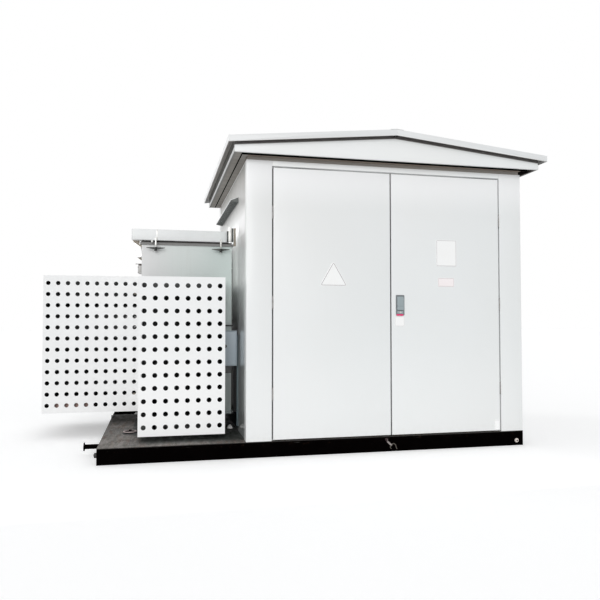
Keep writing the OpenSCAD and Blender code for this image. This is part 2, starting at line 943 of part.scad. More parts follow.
// Upright channel on the front of the cover's right edge
module throat_flange() {
    left_t = 13;
    web = 30;
    right_t = 15;
    flange_d = 30;
    web_back = 3;
    lap = 24;
    web_up = 40;
    right_up = 28;
    color("#b7bab8") translate([tank_x + tank_w - cover_right_in - lap,
        tank_y - cover_front_over - flange_d, cover_z]) {
            cube([left_t, flange_d, cover_h]);
            translate([left_t, web_back, 0])
                cube([web, flange_d - web_back, cover_h + web_up]);
            translate([left_t + web, 0, 0])
                cube([right_t, flange_d, cover_h + right_up]);
        }
}

// Flanged oil valve on the tank's left side
module oil_valve() {
    flange = 11;
    body = 36;
    color("#a7aeac") translate([tank_x, tank_y + valve_y,
        rim_z - valve_drop]) rotate([0, -90, 0]) {
            cylinder(h = flange, d = valve_d);
            cylinder(h = body, d = valve_d / 2);
            translate([0, 0, body - flange]) cylinder(h = flange, d = valve_d);
        }
}

jbox_x = cab_left - jbox_gap - jbox_w;

module junction_box() {
    color("#b9c6cf") translate([jbox_x, tank_y - jbox_d, deck_z + jbox_z])
        difference() {
            cube([jbox_w, jbox_d, jbox_h]);
            translate([6, -bite, 6]) difference() {
                cube([jbox_w - 12, 2 + bite, jbox_h - 12]);
                translate([4, 0, 4]) cube([jbox_w - 20, 2 + bite, jbox_h - 20]);
            }
        }
}

module junction_box_knob() {
    color("#222222") translate([jbox_x + 24, tank_y - jbox_d,
        deck_z + jbox_z + jbox_h * 0.56]) rotate([90, 0, 0]) cylinder(h = 22, d = 34);
}

// ---- radiators -----------------------------------------------------------

// Pressed fin in Y and Z, its middle at the origin, standing on z = 0
module fin(w) {
    edge = 3;
    linear_extrude(fin_h) polygon([[-edge / 2, -w / 2], [edge / 2, -w / 2],
        [fin_t / 2, -w / 2 + 26], [fin_t / 2, w / 2 - 26],
        [edge / 2, w / 2], [-edge / 2, w / 2],
        [-fin_t / 2, w / 2 - 26], [-fin_t / 2, -w / 2 + 26]]);
}

// Bank of fins along +X on a top and a bottom header pipe
module bank(count, w, lead) {
    run = (count - 1) * fin_pitch;
    for (i = [0 : count - 1]) translate([i * fin_pitch, 0, 0]) fin(w);
    for (z = [header_inset, fin_h - header_inset])
        translate([-lead, 0, z]) rotate([0, 90, 0])
            cylinder(h = run + lead + 14, d = header_d);
}

// Front bank, piped to the tank through the gaps between its fins
module front_radiator() {
    run = (front_fin_count - 1) * fin_pitch;
    x0 = front_guard_x + (front_guard_w - run) / 2;
    y0 = front_fin_y + front_fin_w / 2;
    flange = 12;
    color("#b9c0be") {
        translate([x0, y0, fin_z]) bank(front_fin_count, front_fin_w, 14);
        for (z = [header_inset, fin_h - header_inset],
                x = [x0 + 2.5 * fin_pitch, x0 + run - 2.5 * fin_pitch])
            translate([x, y0, fin_z + z]) rotate([-90, 0, 0]) {
                cylinder(h = tank_y - y0, d = header_d * 0.5);
                translate([0, 0, tank_y - y0 - flange])
                    cylinder(h = flange, d = header_d);
            }
    }
}

module left_radiators() {
    mid = left_guard_front + left_guard_d / 2;
    color("#b9c0be")
        for (side = [-1, 1])
            translate([left_guard_right - 30, mid
                + side * (left_fin_w + bank_gap) / 2, fin_z])
                mirror([1, 0, 0]) bank(left_fin_count, left_fin_w,
                    30 + left_guard_gap);
}

// ---- guards --------------------------------------------------------------

// Perforated sheet with a folded edge, w wide, its lowest corner at the
// origin, facing -Y. Columns keep the same pitch and stay centred.
module guard_sheet(w, cols) {
    first = (w - (cols - 1) * hole_pitch_x) / 2;
    upright(guard_t) difference() {
        square([w, guard_h]);
        for (i = [0 : cols - 1], j = [0 : hole_rows - 1])
            translate([first + i * hole_pitch_x,
                guard_margin + j * hole_pitch_z]) circle(d = hole_d);
    }
    difference() {
        cube([w, guard_fold, guard_h]);
        translate([guard_t, -bite, guard_t])
            cube([w - 2 * guard_t, guard_fold + 2 * bite,
                guard_h - 2 * guard_t]);
    }
}

module front_guard_panel() {
    color("#eceeee") translate([front_guard_x, front_guard_front,
        deck_z + front_guard_z]) guard_sheet(front_guard_w, front_cols);
}

module front_guard_sides() {
    side_w = front_guard_depth - guard_fold;
    cols = floor((side_w - 30) / hole_pitch_x);
    color("#e4e6e5") for (side = [0, 1])
        translate([front_guard_x + front_guard_w / 2, 0, 0])
            mirror([side, 0, 0]) translate([-front_guard_w / 2, tank_y
                - base_plate_over, deck_z + front_guard_z]) rotate([0, 0, -90])
                    guard_sheet(side_w, cols);
}

module left_guard_panel() {
    color("#eceeee") translate([left_guard_left, left_guard_front,
        deck_z + left_guard_z]) guard_sheet(left_guard_w, left_cols);
}

module left_guard_end() {
    side_w = left_guard_d - 2 * guard_fold;
    cols = floor((side_w - 30) / hole_pitch_x);
    color("#e4e6e5") translate([left_guard_left, left_guard_front
        + guard_fold + side_w, deck_z + left_guard_z])
            rotate([0, 0, -90]) guard_sheet(side_w, cols);
}

module left_guard_rear() {
    color("#e4e6e5") translate([left_guard_left + left_guard_w,
        left_guard_front + left_guard_d, deck_z + left_guard_z])
            rotate([0, 0, 180]) guard_sheet(left_guard_w, left_cols);
}

// Angles that carry the left guard on the tank
module guard_brackets() {
    leg = 60;
    t = 5;
    color("#b9bcba")
        for (y = [left_guard_front + guard_fold, left_guard_front
                + left_guard_d - guard_fold - t],
                z = [bracket_inset, guard_h - bracket_inset - leg])
            translate([left_guard_right - leg, y, deck_z + left_guard_z + z])
                cube([leg + left_guard_gap, t, leg]);
}

// ---- assembly ------------------------------------------------------------

base_long_channels();
base_end_channels();
base_cross_members();
bay_deck();
bay_rear_plate();
deck_handle();
cabin_floor();
lifting_pins();
earth_studs();
earth_lug();
front_post_left();
front_post_right();
rear_posts();
door_header();
left_wall();
right_wall();
rear_wall();
rear_header();
neck_frame_ends();
neck_frame_sides();
roof_soffit();
fascia_front();
fascia_rear();
fascia_sides();
roof_pan_left();
roof_pan_right();
ridge_strip();
vent_hoods();
vent_slats_set();
left_leaf();
right_leaf();
left_leaf_ribs();
right_leaf_ribs();
hinge_pins();
left_hinge_barrels();
right_hinge_barrels();
lock_plate();
lock_handle();
tank_skids();
tank_body();
tank_rim();
tank_cover();
cover_clamps();
cover_gussets();
throat();
throat_flange();
oil_valve();
junction_box();
junction_box_knob();
front_radiator();
left_radiators();
front_guard_panel();
front_guard_sides();
left_guard_panel();
left_guard_end();
left_guard_rear();
guard_brackets();
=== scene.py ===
"""Looks of a compact substation: a sheet-metal cabin and a guarded oil transformer on one base."""

import json
from contextlib import contextmanager
from math import radians, sqrt

import bmesh
import bpy
from bpy.props import FloatProperty, FloatVectorProperty, IntProperty, PointerProperty
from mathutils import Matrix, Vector


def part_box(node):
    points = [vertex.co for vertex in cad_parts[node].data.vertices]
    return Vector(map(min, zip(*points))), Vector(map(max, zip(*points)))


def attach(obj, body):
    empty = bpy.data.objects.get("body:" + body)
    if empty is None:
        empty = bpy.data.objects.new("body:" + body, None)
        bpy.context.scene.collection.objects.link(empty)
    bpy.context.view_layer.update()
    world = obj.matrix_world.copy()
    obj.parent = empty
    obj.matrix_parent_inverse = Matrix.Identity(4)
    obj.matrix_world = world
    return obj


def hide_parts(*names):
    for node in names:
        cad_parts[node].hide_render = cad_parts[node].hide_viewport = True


bl_info = {
    "name": "Compact Substation",
    "version": (1, 0, 0),
    "blender": (4, 5, 0),
    "location": "View3D > Sidebar > Substation",
    "description": "Paints a compact substation and adds its plates, seals, lock and fasteners",
    "category": "Object",
}

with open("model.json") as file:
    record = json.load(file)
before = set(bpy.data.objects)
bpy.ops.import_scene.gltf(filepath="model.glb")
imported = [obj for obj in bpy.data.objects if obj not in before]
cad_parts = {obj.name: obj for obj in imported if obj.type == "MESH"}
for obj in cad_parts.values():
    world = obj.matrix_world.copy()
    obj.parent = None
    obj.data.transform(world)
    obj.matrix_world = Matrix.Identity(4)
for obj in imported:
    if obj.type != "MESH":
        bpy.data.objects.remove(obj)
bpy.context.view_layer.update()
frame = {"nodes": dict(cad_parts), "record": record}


# ---- settings --------------------------------------------------------------


def colour(name, what, value):
    """A colour property, given in linear light."""
    return FloatVectorProperty(
        name=name, description=what, subtype="COLOR", size=3, min=0, max=1, default=value
    )


def length(name, what, value):
    """A length property in metres."""
    return FloatProperty(name=name, description=what, unit="LENGTH", min=0.0001, default=value)


def share(name, what, value):
    """A property between 0 and 1."""
    return FloatProperty(
        name=name, description=what, subtype="FACTOR", min=0, max=1, default=value
    )


def power(name, what, value):
    """The strength of a lamp."""
    return FloatProperty(name=name, description=what, min=0, default=value)


class SubstationPaint(bpy.types.PropertyGroup):
    """Colours of the paints and metals."""

    cabin: colour("Cabin", "Powder coat of the walls and doors", (0.815, 0.825, 0.822))
    roof: colour("Roof", "Powder coat of the roof pans", (0.79, 0.80, 0.80))
    # A dark brown-grey that stands for the shade under the roof: painted shade.
    eaves: colour("Eaves", "Grey sheet under the roof", (0.33, 0.275, 0.235))
    # Darker than the cabin's paint: painted shade in the recess under the eaves.
    neck: colour("Neck", "Grey frame between walls and roof", (0.40, 0.37, 0.34))
    base: colour("Base", "Black enamel of the base frame", (0.0012, 0.0008, 0.0008))
    deck: colour("Deck", "Worn plates of the deck", (0.150, 0.138, 0.125))
    tank: colour("Tank", "Green-grey enamel of the tank", (0.66, 0.70, 0.685))
    cover: colour("Cover", "Light enamel of the tank's cover", (0.75, 0.76, 0.76))
    rim: colour("Rim", "Enamel of the tank's rim", (0.27, 0.265, 0.26))
    gusset: colour("Gussets", "Brown primer of the gussets", (0.30, 0.26, 0.21))
    box: colour("Box", "Blue-grey enamel of the junction box", (0.46, 0.53, 0.58))
    # Near black as painted shade, so the fins behind the guards' holes read dark.
    radiator: colour("Radiator", "Dark enamel of the radiators", (0.035, 0.037, 0.036))
    guard: colour("Guards", "Powder coat of the perforated guards", (0.885, 0.89, 0.89))
    lock: colour("Lock", "Blue-grey paint of the lock", (0.30, 0.355, 0.37))
    lock_rim: colour("Lock rim", "Grey case round the lock's paddle", (0.20, 0.215, 0.225))
    seal_strip: colour("Strip", "Rose strip across the lock's foot", (0.74, 0.045, 0.17))
    zinc: colour("Zinc", "Zinc plating of bolts and clamps", (0.62, 0.62, 0.60))
    plate: colour("Plates", "White enamel of the bare plates", (0.93, 0.935, 0.93))
    sheet_roughness: share("Sheet roughness", "Roughness of the powder coat", 0.36)
    peel: share("Peel", "Strength of the paint's orange peel", 0.05)


class SubstationTrim(bpy.types.PropertyGroup):
    """Sizes of the small pieces."""

    plate_t: length("Plate thickness", "Thickness of the bare plates", 0.0025)
    hazard_side: length("Triangle side", "Side of the triangular plate", 0.235)
    notice_w: length("Notice width", "Width of the upper right plate", 0.201)
    notice_h: length("Notice height", "Height of the upper right plate", 0.243)
    name_w: length("Name plate width", "Width of the small plate", 0.158)
    name_h: length("Name plate height", "Height of the small plate", 0.080)
    fold_r: length("Fold radius", "Radius of the folds in the sheet metal", 0.0035)
    fold_steps: IntProperty(
        name="Fold steps", description="Segments of a fold", min=1, max=6, default=3
    )
    lock_w: length("Lock width", "Width of the lock's case", 0.080)
    lock_h: length("Lock height", "Height of the lock's case", 0.184)
    paddle_w: length("Paddle width", "Width of the lock's paddle", 0.062)
    wing_w: length("Wing width", "Tip to tip across a clamp's wing nut", 0.166)
    seal_w: length("Seal width", "Width of a door seal", 0.030)


class SubstationStudio(bpy.types.PropertyGroup):
    """Light, floor and camera."""

    sky: power("Sky", "Light from all round", 0.60)
    key: power("Key", "Strength of the broad lamp in front", 1.36)
    rim: power("Rim", "Strength of the lamp behind on the left", 1.1)
    fill: power("Fill", "Power of the long low lamp in front", 5.2)
    gap: power("Gap", "Power of the strip lamp over the gap beside the tank", 0.6)
    wash: power("Wash", "Power of the lamp that lights the wall beside the tank", 0.2)
    under: power("Under", "Power of the lamp under the cover's left end", 0.5)
    floor: colour("Floor", "Pale floor", (0.9, 0.9, 0.9))
    lens: FloatProperty(
        name="Lens", description="Focal length in millimetres", min=1, default=37.27
    )


# ---- nodes -----------------------------------------------------------------


def maths(operation, swapped=False):
    """An operator that adds one Math node, with its two sides swapped if asked."""

    def combine(self, other):
        sides = (other, self) if swapped else (self, other)
        return self.nodes.node("ShaderNodeMath", {"operation": operation}, dict(enumerate(sides)))

    return combine


class Signal:
    """A number or colour that varies over a surface. Arithmetic on it adds Math nodes."""

    def __init__(self, nodes, socket):
        self.nodes = nodes
        self.socket = socket

    __add__ = __radd__ = maths("ADD")
    __mul__ = __rmul__ = maths("MULTIPLY")
    __sub__, __rsub__ = maths("SUBTRACT"), maths("SUBTRACT", swapped=True)
    __truediv__ = maths("DIVIDE")
    __gt__, __lt__ = maths("GREATER_THAN"), maths("LESS_THAN")
    __or__ = maths("MAXIMUM")

    def ramp(self, low, high):
        """0 below low, 1 above high, and smooth between them."""
        settings = {"interpolation_type": "SMOOTHSTEP"}
        return self.nodes.node("ShaderNodeMapRange", settings, {0: self, 1: low, 2: high})

    def fall(self, low, high):
        """1 below low, 0 above high, and smooth between them."""
        return 1.0 - self.ramp(low, high)

    def within(self, low, high):
        """1 between two levels and 0 outside them."""
        return (self > low) * (self < high)


class Nodes:
    """The nodes of a material or of the world."""

    def __init__(self, owner, output):
        owner.use_nodes = True
        self.tree = owner.node_tree
        self.tree.nodes.clear()
        self.surface = self.tree.nodes.new(output).inputs["Surface"]

    def plug(self, socket, value):
        """Links a signal to a socket, or sets the socket's own value."""
        if isinstance(value, Signal):
            self.tree.links.new(value.socket, socket)
        else:
            socket.default_value = value

    def node(self, kind, settings=None, inputs=None, output=0):
        """Adds a node: its settings first, then its inputs. Returns one output."""
        added = self.tree.nodes.new(kind)
        for key, value in (settings or {}).items():
            setattr(added, key, value)
        for key, value in (inputs or {}).items():
            self.plug(added.inputs[key], value)
        return Signal(self, added.outputs[output])

    def ray(self, test):
        """1 for the rays that pass one of Light Path's tests."""
        return self.node("ShaderNodeLightPath", output=test)


class Finish(Nodes):
    """A surface finish made of nodes. Patterns sit on Object coordinates, in metres."""

    def __init__(self, base, metallic=0.0, coat=0.0, coat_roughness=0.03, spec=0.5):
        self.material = bpy.data.materials.new("finish")
        super().__init__(self.material, "ShaderNodeOutputMaterial")
        self.tone = base
        self.shader = self.tree.nodes.new("ShaderNodeBsdfPrincipled")
        self.plug(self.surface, Signal(self, self.shader.outputs[0]))
        self.place = self.node("ShaderNodeTexCoord", output="Object")
        self.set("Metallic", metallic)
        self.set("Coat Weight", coat)
        self.set("Coat Roughness", coat_roughness)
        self.set("Specular IOR Level", spec)

    def set(self, socket, value):
        """Feeds one of the shader's sockets."""
        self.plug(self.shader.inputs[socket], value)

    def part(self, vector, letter):
        """A vector's part along X, Y or Z."""
        return self.node("ShaderNodeSeparateXYZ", None, {0: vector}, letter)

    x = property(lambda self: self.part(self.place, "X"))
    y = property(lambda self: self.part(self.place, "Y"))
    z = property(lambda self: self.part(self.place, "Z"))

    def facing(self, letter):
        """The surface normal's part along X, Y or Z."""
        return self.part(self.node("ShaderNodeNewGeometry", output="Normal"), letter)

    def turned(self, way):
        """1 where the surface is turned to a signed axis, such as -Y."""
        out = self.facing(way[1])
        return out > 0.5 if way[0] == "+" else out < -0.5

    def noise(self, scale, detail=2.0, roughness=0.5, stretch=None):
        """Cloudy values round one half, scaled along each axis by the stretch."""
        place = self.place
        if stretch:
            settings = {"operation": "MULTIPLY"}
            place = self.node("ShaderNodeVectorMath", settings, {0: place, 1: stretch})
        inputs = {"Vector": place, "Scale": scale, "Detail": detail, "Roughness": roughness}
        return self.node("ShaderNodeTexNoise", None, inputs)

    def mix(self, factor, a, b):
        """Colour a where the factor is 0 and colour b where it is 1."""
        a, b = ((*c, 1.0) if isinstance(c, tuple) else c for c in (a, b))
        settings = {"data_type": "RGBA", "clamp_factor": True}
        return self.node("ShaderNodeMix", settings, {0: factor, 6: a, 7: b}, 2)

    def lay(self, mask, tone):
        """Lays a colour over the tone so far, where the mask is 1."""
        self.tone = self.mix(mask, self.tone, tone)

    def bump(self, height, distance, strength=1.0, under=None):
        """A normal that follows a height, in metres once distance scales it."""
        inputs = {"Height": height, "Distance": distance, "Strength": strength}
        if under is not None:
            inputs["Normal"] = under
        return self.node("ShaderNodeBump", None, inputs)

    def done(self, roughness, normal=None):
        """Feeds the shader its tone, roughness and normal. Returns the material."""
        self.set("Base Color", self.tone)
        self.set("Roughness", roughness)
        if normal is not None:
            self.set("Normal", normal)
        return self.material


def shade(base, by):
    """A colour made lighter or darker by a factor."""
    return tint(base, by, by, by)


def tint(base, *factors):
    """A colour with each channel scaled."""
    return tuple(min(1.0, part * factor) for part, factor in zip(base, factors))


# ---- finishes ----------------------------------------------------------------

BLACK = (0.003, 0.003, 0.003)
SLOT_BLACK = (0.004, 0.004, 0.004)
# Painted shade on the tank where it hides behind the guards.
HIDDEN_SHADE = (0.02, 0.022, 0.021)
# Brown painted shade under the eaves, laid on the side walls.
EAVES_SHADE = (0.12, 0.105, 0.085)

# Places along X: the sides of the deck's seam, and the front guard's right edge
SEAM_LEFT, SEAM_RIGHT = -1.653, -1.650
GUARD_RIGHT = -0.83

# Height of the hem of the eaves
HEM = 0.040


def orange_peel(finish, wave):
    """Normal of sprayed paint over sheet that is wavy by so many metres."""
    sheet = finish.bump(finish.noise(1.7, 1.0), wave)
    strength = bpy.context.scene.substation_paint.peel * 4.0
    return finish.bump(finish.noise(520.0, 2.0), 0.0004, strength, sheet)


def powder_coat(
    base, roughness=0.36, cloud=0.5, coat=0.25, spec=0.5, wave=0.0016,
    dust=0.0, pale=0.0, crown=0.0, under=None, over=None,
):
    """Sprayed paint on sheet metal: soft clouds of tone, faint runs, orange peel, wavy sheet.
    It can be dusty at the foot, with painted light low down and at the crown. With a colour under,
    what faces down takes that colour. A function over gives a mask and the colour laid on it."""
    finish = Finish(base, coat=coat, coat_roughness=0.12, spec=spec)
    clouds = finish.noise(0.85, 1.5).ramp(0.3, 0.7)
    cool = finish.noise(0.55, 1.0, 0.5, (1.0, 1.0, 0.6)).ramp(0.35, 0.75)
    runs = finish.noise(1.0, 3.0, 0.6, (16.0, 16.0, 0.55)).ramp(0.55, 0.8)
    finish.lay(clouds * cloud, tint(base, 0.965, 0.962, 0.955))
    finish.lay(cool * (0.5 * cloud), tint(base, 0.945, 0.985, 1.0))
    finish.lay(runs * 0.10, shade(base, 0.9))
    # Painted light: paler low down and at the crown.
    if pale:
        finish.lay(finish.z.fall(0.1, 1.2) * pale, (0.95, 0.95, 0.945))
    if crown:
        finish.lay(finish.z.ramp(2.1, 2.45) * crown, (0.95, 0.955, 0.96))
    if dust:
        specks = finish.noise(26.0, 4.0, 0.65).ramp(0.35, 0.75)
        finish.lay(finish.z.fall(0.13, 0.24) * specks * dust, (0.42, 0.37, 0.31))
    # What faces down takes the colour under; on the roof pans this is painted shade.
    if under:
        finish.lay(finish.turned("-Z"), under)
    if over:
        finish.lay(*over(finish))
    rough = roughness + 0.10 * (finish.noise(5.0, 3.0) - 0.5)
    return finish.done(rough, orange_peel(finish, wave))


def gable_lip_shadow(finish):
    """Mask and colour of the painted shadow along a gable, under the lip of the roof pans."""
    low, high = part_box("roof_pan_left")
    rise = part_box("fascia_front")[1][2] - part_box("fascia_sides")[1][2]
    slope = rise / (high[0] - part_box("fascia_front")[0][0])
    ridge = low[2] + slope * (high[0] - low[0])
    out = finish.x - high[0]
    distance = ((out > 0.0) * 2.0 - 1.0) * out
    level = ridge - slope * distance
    return (finish.z - level).ramp(-0.016, -0.008), (0.13, 0.12, 0.115)


def hem_line(finish):
    """Mask and colour of the shadow line over the hem of the eaves."""
    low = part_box("fascia_sides")[0][2]
    return finish.z.within(low + HEM, low + HEM + 0.018), SLOT_BLACK


def guard_inner_shade(finish):
    """Mask and colour of painted shade on the guards' inner faces, as dark as the fins behind them.
    """
    sheet = 0.03
    low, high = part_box("left_guard_end")[0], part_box("left_guard_rear")[1]
    x, y = finish.x, finish.y
    # The left guard is in the bay's rear half. The front guard has a panel and two side sheets.
    left = (x < -1.6) * (y > 0.0)
    front_panel, left_end = y < -0.9, (y < 0.2) * left
    left_panel, front_left_side, front_right_side = x < low[0] + sheet, x < -1.56, x > -0.88
    inward = finish.turned("+Y") * (front_panel + left_end)
    inward = inward + finish.turned("-Y") * (y > high[1] - sheet) * left
    inward = inward + finish.turned("+X") * (left_panel + front_left_side * (y < 0.0))
    inward = inward + finish.turned("-X") * front_right_side
    return inward > 0.5, (0.02, 0.021, 0.02)


def rim_gap(finish):
    """Mask and colour of the shadow between the tank's rim and its cover."""
    return finish.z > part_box("tank_rim")[1][2] - 0.008, (0.02, 0.014, 0.014)


def ring_lit_top(finish):
    """Mask and colour of painted light on the lifting ring's upper faces, narrower on its far half.
    """
    low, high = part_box("deck_handle")
    far = finish.y > (low[1] + high[1]) / 2
    return finish.facing("Z") - far * 0.6 > 0.0, (0.40, 0.34, 0.33)


def foot_shadow(finish):
    """Mask and colour of the foot headers' right part, which is dark."""
    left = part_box("left_radiators")[0][0]
    return finish.x.ramp(left + 0.27, left + 0.42), (0.008, 0.008, 0.008)


def strap_tone(finish):
    """Mask and colour of the earth strap's rusty bolt and of its bare middle."""
    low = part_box("earth_lug")[0]
    run = finish.x - low[0]
    past_bolt = run.ramp(0.018, 0.026)
    bolt = 1.0 - past_bolt
    bare = past_bolt * (finish.z > low[2] + 0.036) * (run < 0.066)
    return bolt + bare, finish.mix(bolt, (0.30, 0.27, 0.26), (0.040, 0.024, 0.026))


def side_enamel(base):
    """Glossy coat of the side walls, with painted light and shade: darker low down, brown under the
    eaves with a near-white stripe below, a shadow under the cover's level, and black in the gap
    behind the tank."""
    finish = Finish(base)
    x, y, z = finish.x, finish.y, finish.z
    clouds = finish.noise(0.85, 1.5).ramp(0.3, 0.7)
    runs = finish.noise(1.0, 3.0, 0.6, (14.0, 14.0, 0.5)).ramp(0.5, 0.8)
    finish.lay(clouds * 0.7, tint(base, 0.965, 0.955, 0.94))
    finish.lay(runs * 0.12, shade(base, 0.85))
    # Painted shade, darker towards the bottom of the walls.
    low_shade = z.fall(0.9, 1.5) * (0.42 + 0.2 * finish.noise(3.0, 4.0))
    finish.lay(low_shade, (0.16, 0.19, 0.19))
    # Painted shade under the eaves, stronger towards the front.
    eaves = z.ramp(2.11, 2.24)
    finish.lay(eaves * 0.40 + z.ramp(2.26, 2.52) * 0.12, EAVES_SHADE)
    finish.lay(eaves * y.fall(-1.05, -0.65) * 0.22, EAVES_SHADE)
    # Painted light: a near-white stripe on the walls below the eaves' shade.
    lit_band = z.ramp(1.92, 1.95) * z.fall(2.08, 2.14)
    finish.lay(lit_band * 0.9, (0.98, 0.98, 0.98))
    # Painted shadow below the level of the tank's cover, near the front.
    cover_shadow = z.fall(1.91, 1.94) * z.ramp(1.5, 1.6) * y.fall(-1.1, -0.6)
    finish.lay(cover_shadow * 0.30, (0.22, 0.20, 0.20))
    # Painted shade: near black in the gap behind the tank, with less coat there.
    gap = (y > -0.575) * z.fall(1.02, 1.30) * (x < 0.0)
    finish.lay(gap, (0.006, 0.012, 0.016))
    finish.set("Coat Weight", (1.0 - 0.92 * z.ramp(1.40, 1.52)) * (1.0 - 0.85 * gap))
    return finish.done(0.34 + 0.08 * finish.noise(5.0, 3.0), orange_peel(finish, 0.0006))


def soffit_sheet(base):
    """Sheet under the eaves, with painted light and shade: brown shade in front, paler past the
    left wall and black past the right one, and a black painted shadow along the front and round the
    neck frame."""
    finish = Finish(base, spec=0.0)
    x = finish.x
    left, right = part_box("left_wall")[0][0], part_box("right_wall")[1][0]
    streaks = finish.noise(1.0, 4.0, 0.6, (3.0, 14.0, 14.0))
    # Painted light past the left wall, painted shade past the right one.
    finish.lay(x < left, (0.42, 0.40, 0.375))
    finish.lay(x > right, SLOT_BLACK)
    finish.lay(streaks.ramp(0.35, 0.75) * 0.3, shade(base, 0.6))
    inner = x.within(left - 0.050, right + 0.050)
    wider = x.within(left - 0.062, right + 0.062)
    front = finish.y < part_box("fascia_front")[1][1] + 0.065
    # Painted black shadow along the front and in lines beside the walls.
    finish.lay(front * wider + (wider - inner), BLACK)
    return finish.done(0.42 + 0.2 * streaks, finish.bump(finish.noise(2.4, 2.0), 0.002))


def black_enamel(base):
    """Black enamel on rolled steel, with scuffs along its upper edge and dust on what faces up."""
    finish = Finish(base, spec=0.0)
    mottle = finish.noise(9.0, 5.0, 0.6)
    wear = finish.noise(1.0, 5.0, 0.7, (9.0, 9.0, 60.0)).ramp(0.62, 0.72)
    chips = finish.noise(34.0, 4.0, 0.7).ramp(0.60, 0.70)
    upper_edge = finish.z.ramp(0.085, 0.128)
    settled = finish.facing("Z").ramp(0.5, 0.9) * finish.noise(13.0, 4.0).ramp(0.3, 0.8)
    finish.lay(mottle.ramp(0.4, 0.75) * 0.6, shade(base, 1.9))
    finish.lay(wear * upper_edge * 0.35, (0.10, 0.095, 0.09))
    finish.lay(chips * upper_edge * 0.30, (0.09, 0.05, 0.035))
    finish.lay(settled * 0.6, (0.06, 0.052, 0.045))
    rolled = finish.bump(finish.noise(70.0, 4.0, 0.6), 0.0008, 0.6)
    worn = finish.bump(wear * upper_edge, 0.0004, 0.5, rolled)
    return finish.done(0.36 + 0.3 * mottle + 0.2 * settled, worn)


def deck_plate(base):
    """Trodden deck plate: grey-brown paint with oil stains, scratches, dried puddles and bare
    edges, and painted shade towards the rear, behind the front guard and on the plates' edges."""
    finish = Finish(shade(base, 1.25), spec=0.35)
    x, y = finish.x, finish.y
    stains = finish.noise(2.6, 5.0, 0.62)
    patches = finish.noise(7.5, 4.0, 0.6, (2.6, 0.8, 1.0))
    grit = finish.noise(120.0, 3.0, 0.7)
    scratches = finish.noise(1.0, 4.0, 0.75, (46.0, 9.0, 1.0)).ramp(0.49, 0.62)
    rust = finish.noise(1.0, 4.0, 0.7, (22.0, 4.0, 1.0)).ramp(0.50, 0.62)
    specks = finish.noise(1.0, 3.0, 0.6, (58.0, 13.0, 1.0)).ramp(0.46, 0.60)
    finish.lay(stains.ramp(0.35, 0.66), tint(base, 0.60, 0.62, 0.64))
    finish.lay(patches.ramp(0.47, 0.66) * 0.6, shade(base, 0.42))
    finish.lay(scratches * 0.50, (0.30, 0.27, 0.24))
    finish.lay(rust * 0.45, (0.15, 0.085, 0.06))
    finish.lay(specks * 0.45, shade(base, 0.45))
    # The shadow in the lifting ring is an oval, a little in front of the ring's middle
    ring = [(low + high) / 2 for low, high in zip(*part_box("deck_handle"))]
    oval_x, oval_y, forward = 0.066, 0.130, 0.025
    aside, ahead = (x - ring[0]) / oval_x, (y - (ring[1] - forward)) / oval_y
    ring_shadow = aside * aside + ahead * ahead < 1.0
    finish.lay(ring_shadow * 0.9, (0.006, 0.005, 0.005))
    # Painted shade, darker towards the rear of the bay.
    finish.lay(y.ramp(-0.35, 0.45) * 0.55, (0.045, 0.047, 0.045))
    # Painted shade on the deck from the front guard back, mottled by the patches, and patchy beside
    # the seam behind it.
    shaded_deck = x.ramp(-1.64, -1.50) * y.ramp(-1.16, -1.02)
    beside_seam = (x > SEAM_LEFT + 0.001) * y.ramp(-0.75, -0.60) * patches.ramp(0.25, 0.5)
    shaded_deck = shaded_deck + (1.0 - shaded_deck) * beside_seam
    finish.lay(shaded_deck * (0.80 + 0.2 * patches), (0.022, 0.027, 0.024))
    finish.lay(grit.ramp(0.55, 0.75) * 0.25, shade(base, 0.45))
    bare_edge = (y < -1.190) * finish.noise(14.0, 4.0, 0.7).ramp(0.42, 0.6)
    finish.lay(bare_edge * 0.3, (0.34, 0.28, 0.22))
    # Painted shade on the plates' edges and in the gaps between them.
    finish.lay(finish.facing("Z") < 0.5, (0.008, 0.006, 0.005))
    dents = finish.bump(finish.noise(5.0, 2.0), 0.003, 0.6)
    rough = 0.45 + 0.35 * patches.ramp(0.3, 0.8)
    return finish.done(rough, finish.bump(grit, 0.0006, 0.5, dents))


def plated_steel(base, roughness=0.4, spangle=0.25):
    """Plated steel with a fine spangle and a few dull patches."""
    finish = Finish(base, metallic=0.85)
    cells = {"Vector": finish.place, "Scale": 160.0}
    grains = finish.node("ShaderNodeTexVoronoi", None, cells, "Color")
    grains = finish.node("ShaderNodeSeparateColor", None, {0: grains})
    dull = finish.noise(24.0, 4.0, 0.6).ramp(0.45, 0.7)
    finish.lay(grains * spangle, shade(base, 0.72))
    finish.lay(dull * 0.35, tint(base, 0.72, 0.70, 0.66))
    grain = finish.bump(finish.noise(300.0, 2.0), 0.0003, 0.4)
    return finish.done(roughness + 0.25 * dull, grain)


def tank_enamel(base, dirt=0.25, coat=0.3, spec=0.5, under=None, over=None):
    """Brushed-on enamel over welded plate, with weather runs from the top edge. With a colour
    under, what faces down keeps it. A function over lays more tones."""
    finish = Finish(base, coat=coat, coat_roughness=0.15, spec=spec)
    clouds = finish.noise(1.8, 3.0).ramp(0.3, 0.75)
    runs = finish.noise(1.0, 4.0, 0.6, (30.0, 30.0, 1.4)).ramp(0.5, 0.8)
    finish.lay(clouds * 0.6, tint(base, 0.93, 0.965, 0.95))
    finish.lay(runs * dirt, tint(base, 0.78, 0.76, 0.72))
    finish.lay(finish.z.fall(0.3, 1.3) * 0.35, shade(base, 0.6))
    if over:
        over(finish)
    # What faces down takes the colour under; on the tank's cover this is painted light.
    if under:
        finish.lay(finish.turned("-Z"), under)
    plate = finish.bump(finish.noise(2.6, 2.0), 0.003)
    brushed = finish.bump(finish.noise(260.0, 2.0), 0.0005, 0.25, plate)
    return finish.done(0.26 + 0.16 * finish.noise(6.0, 3.0), brushed)


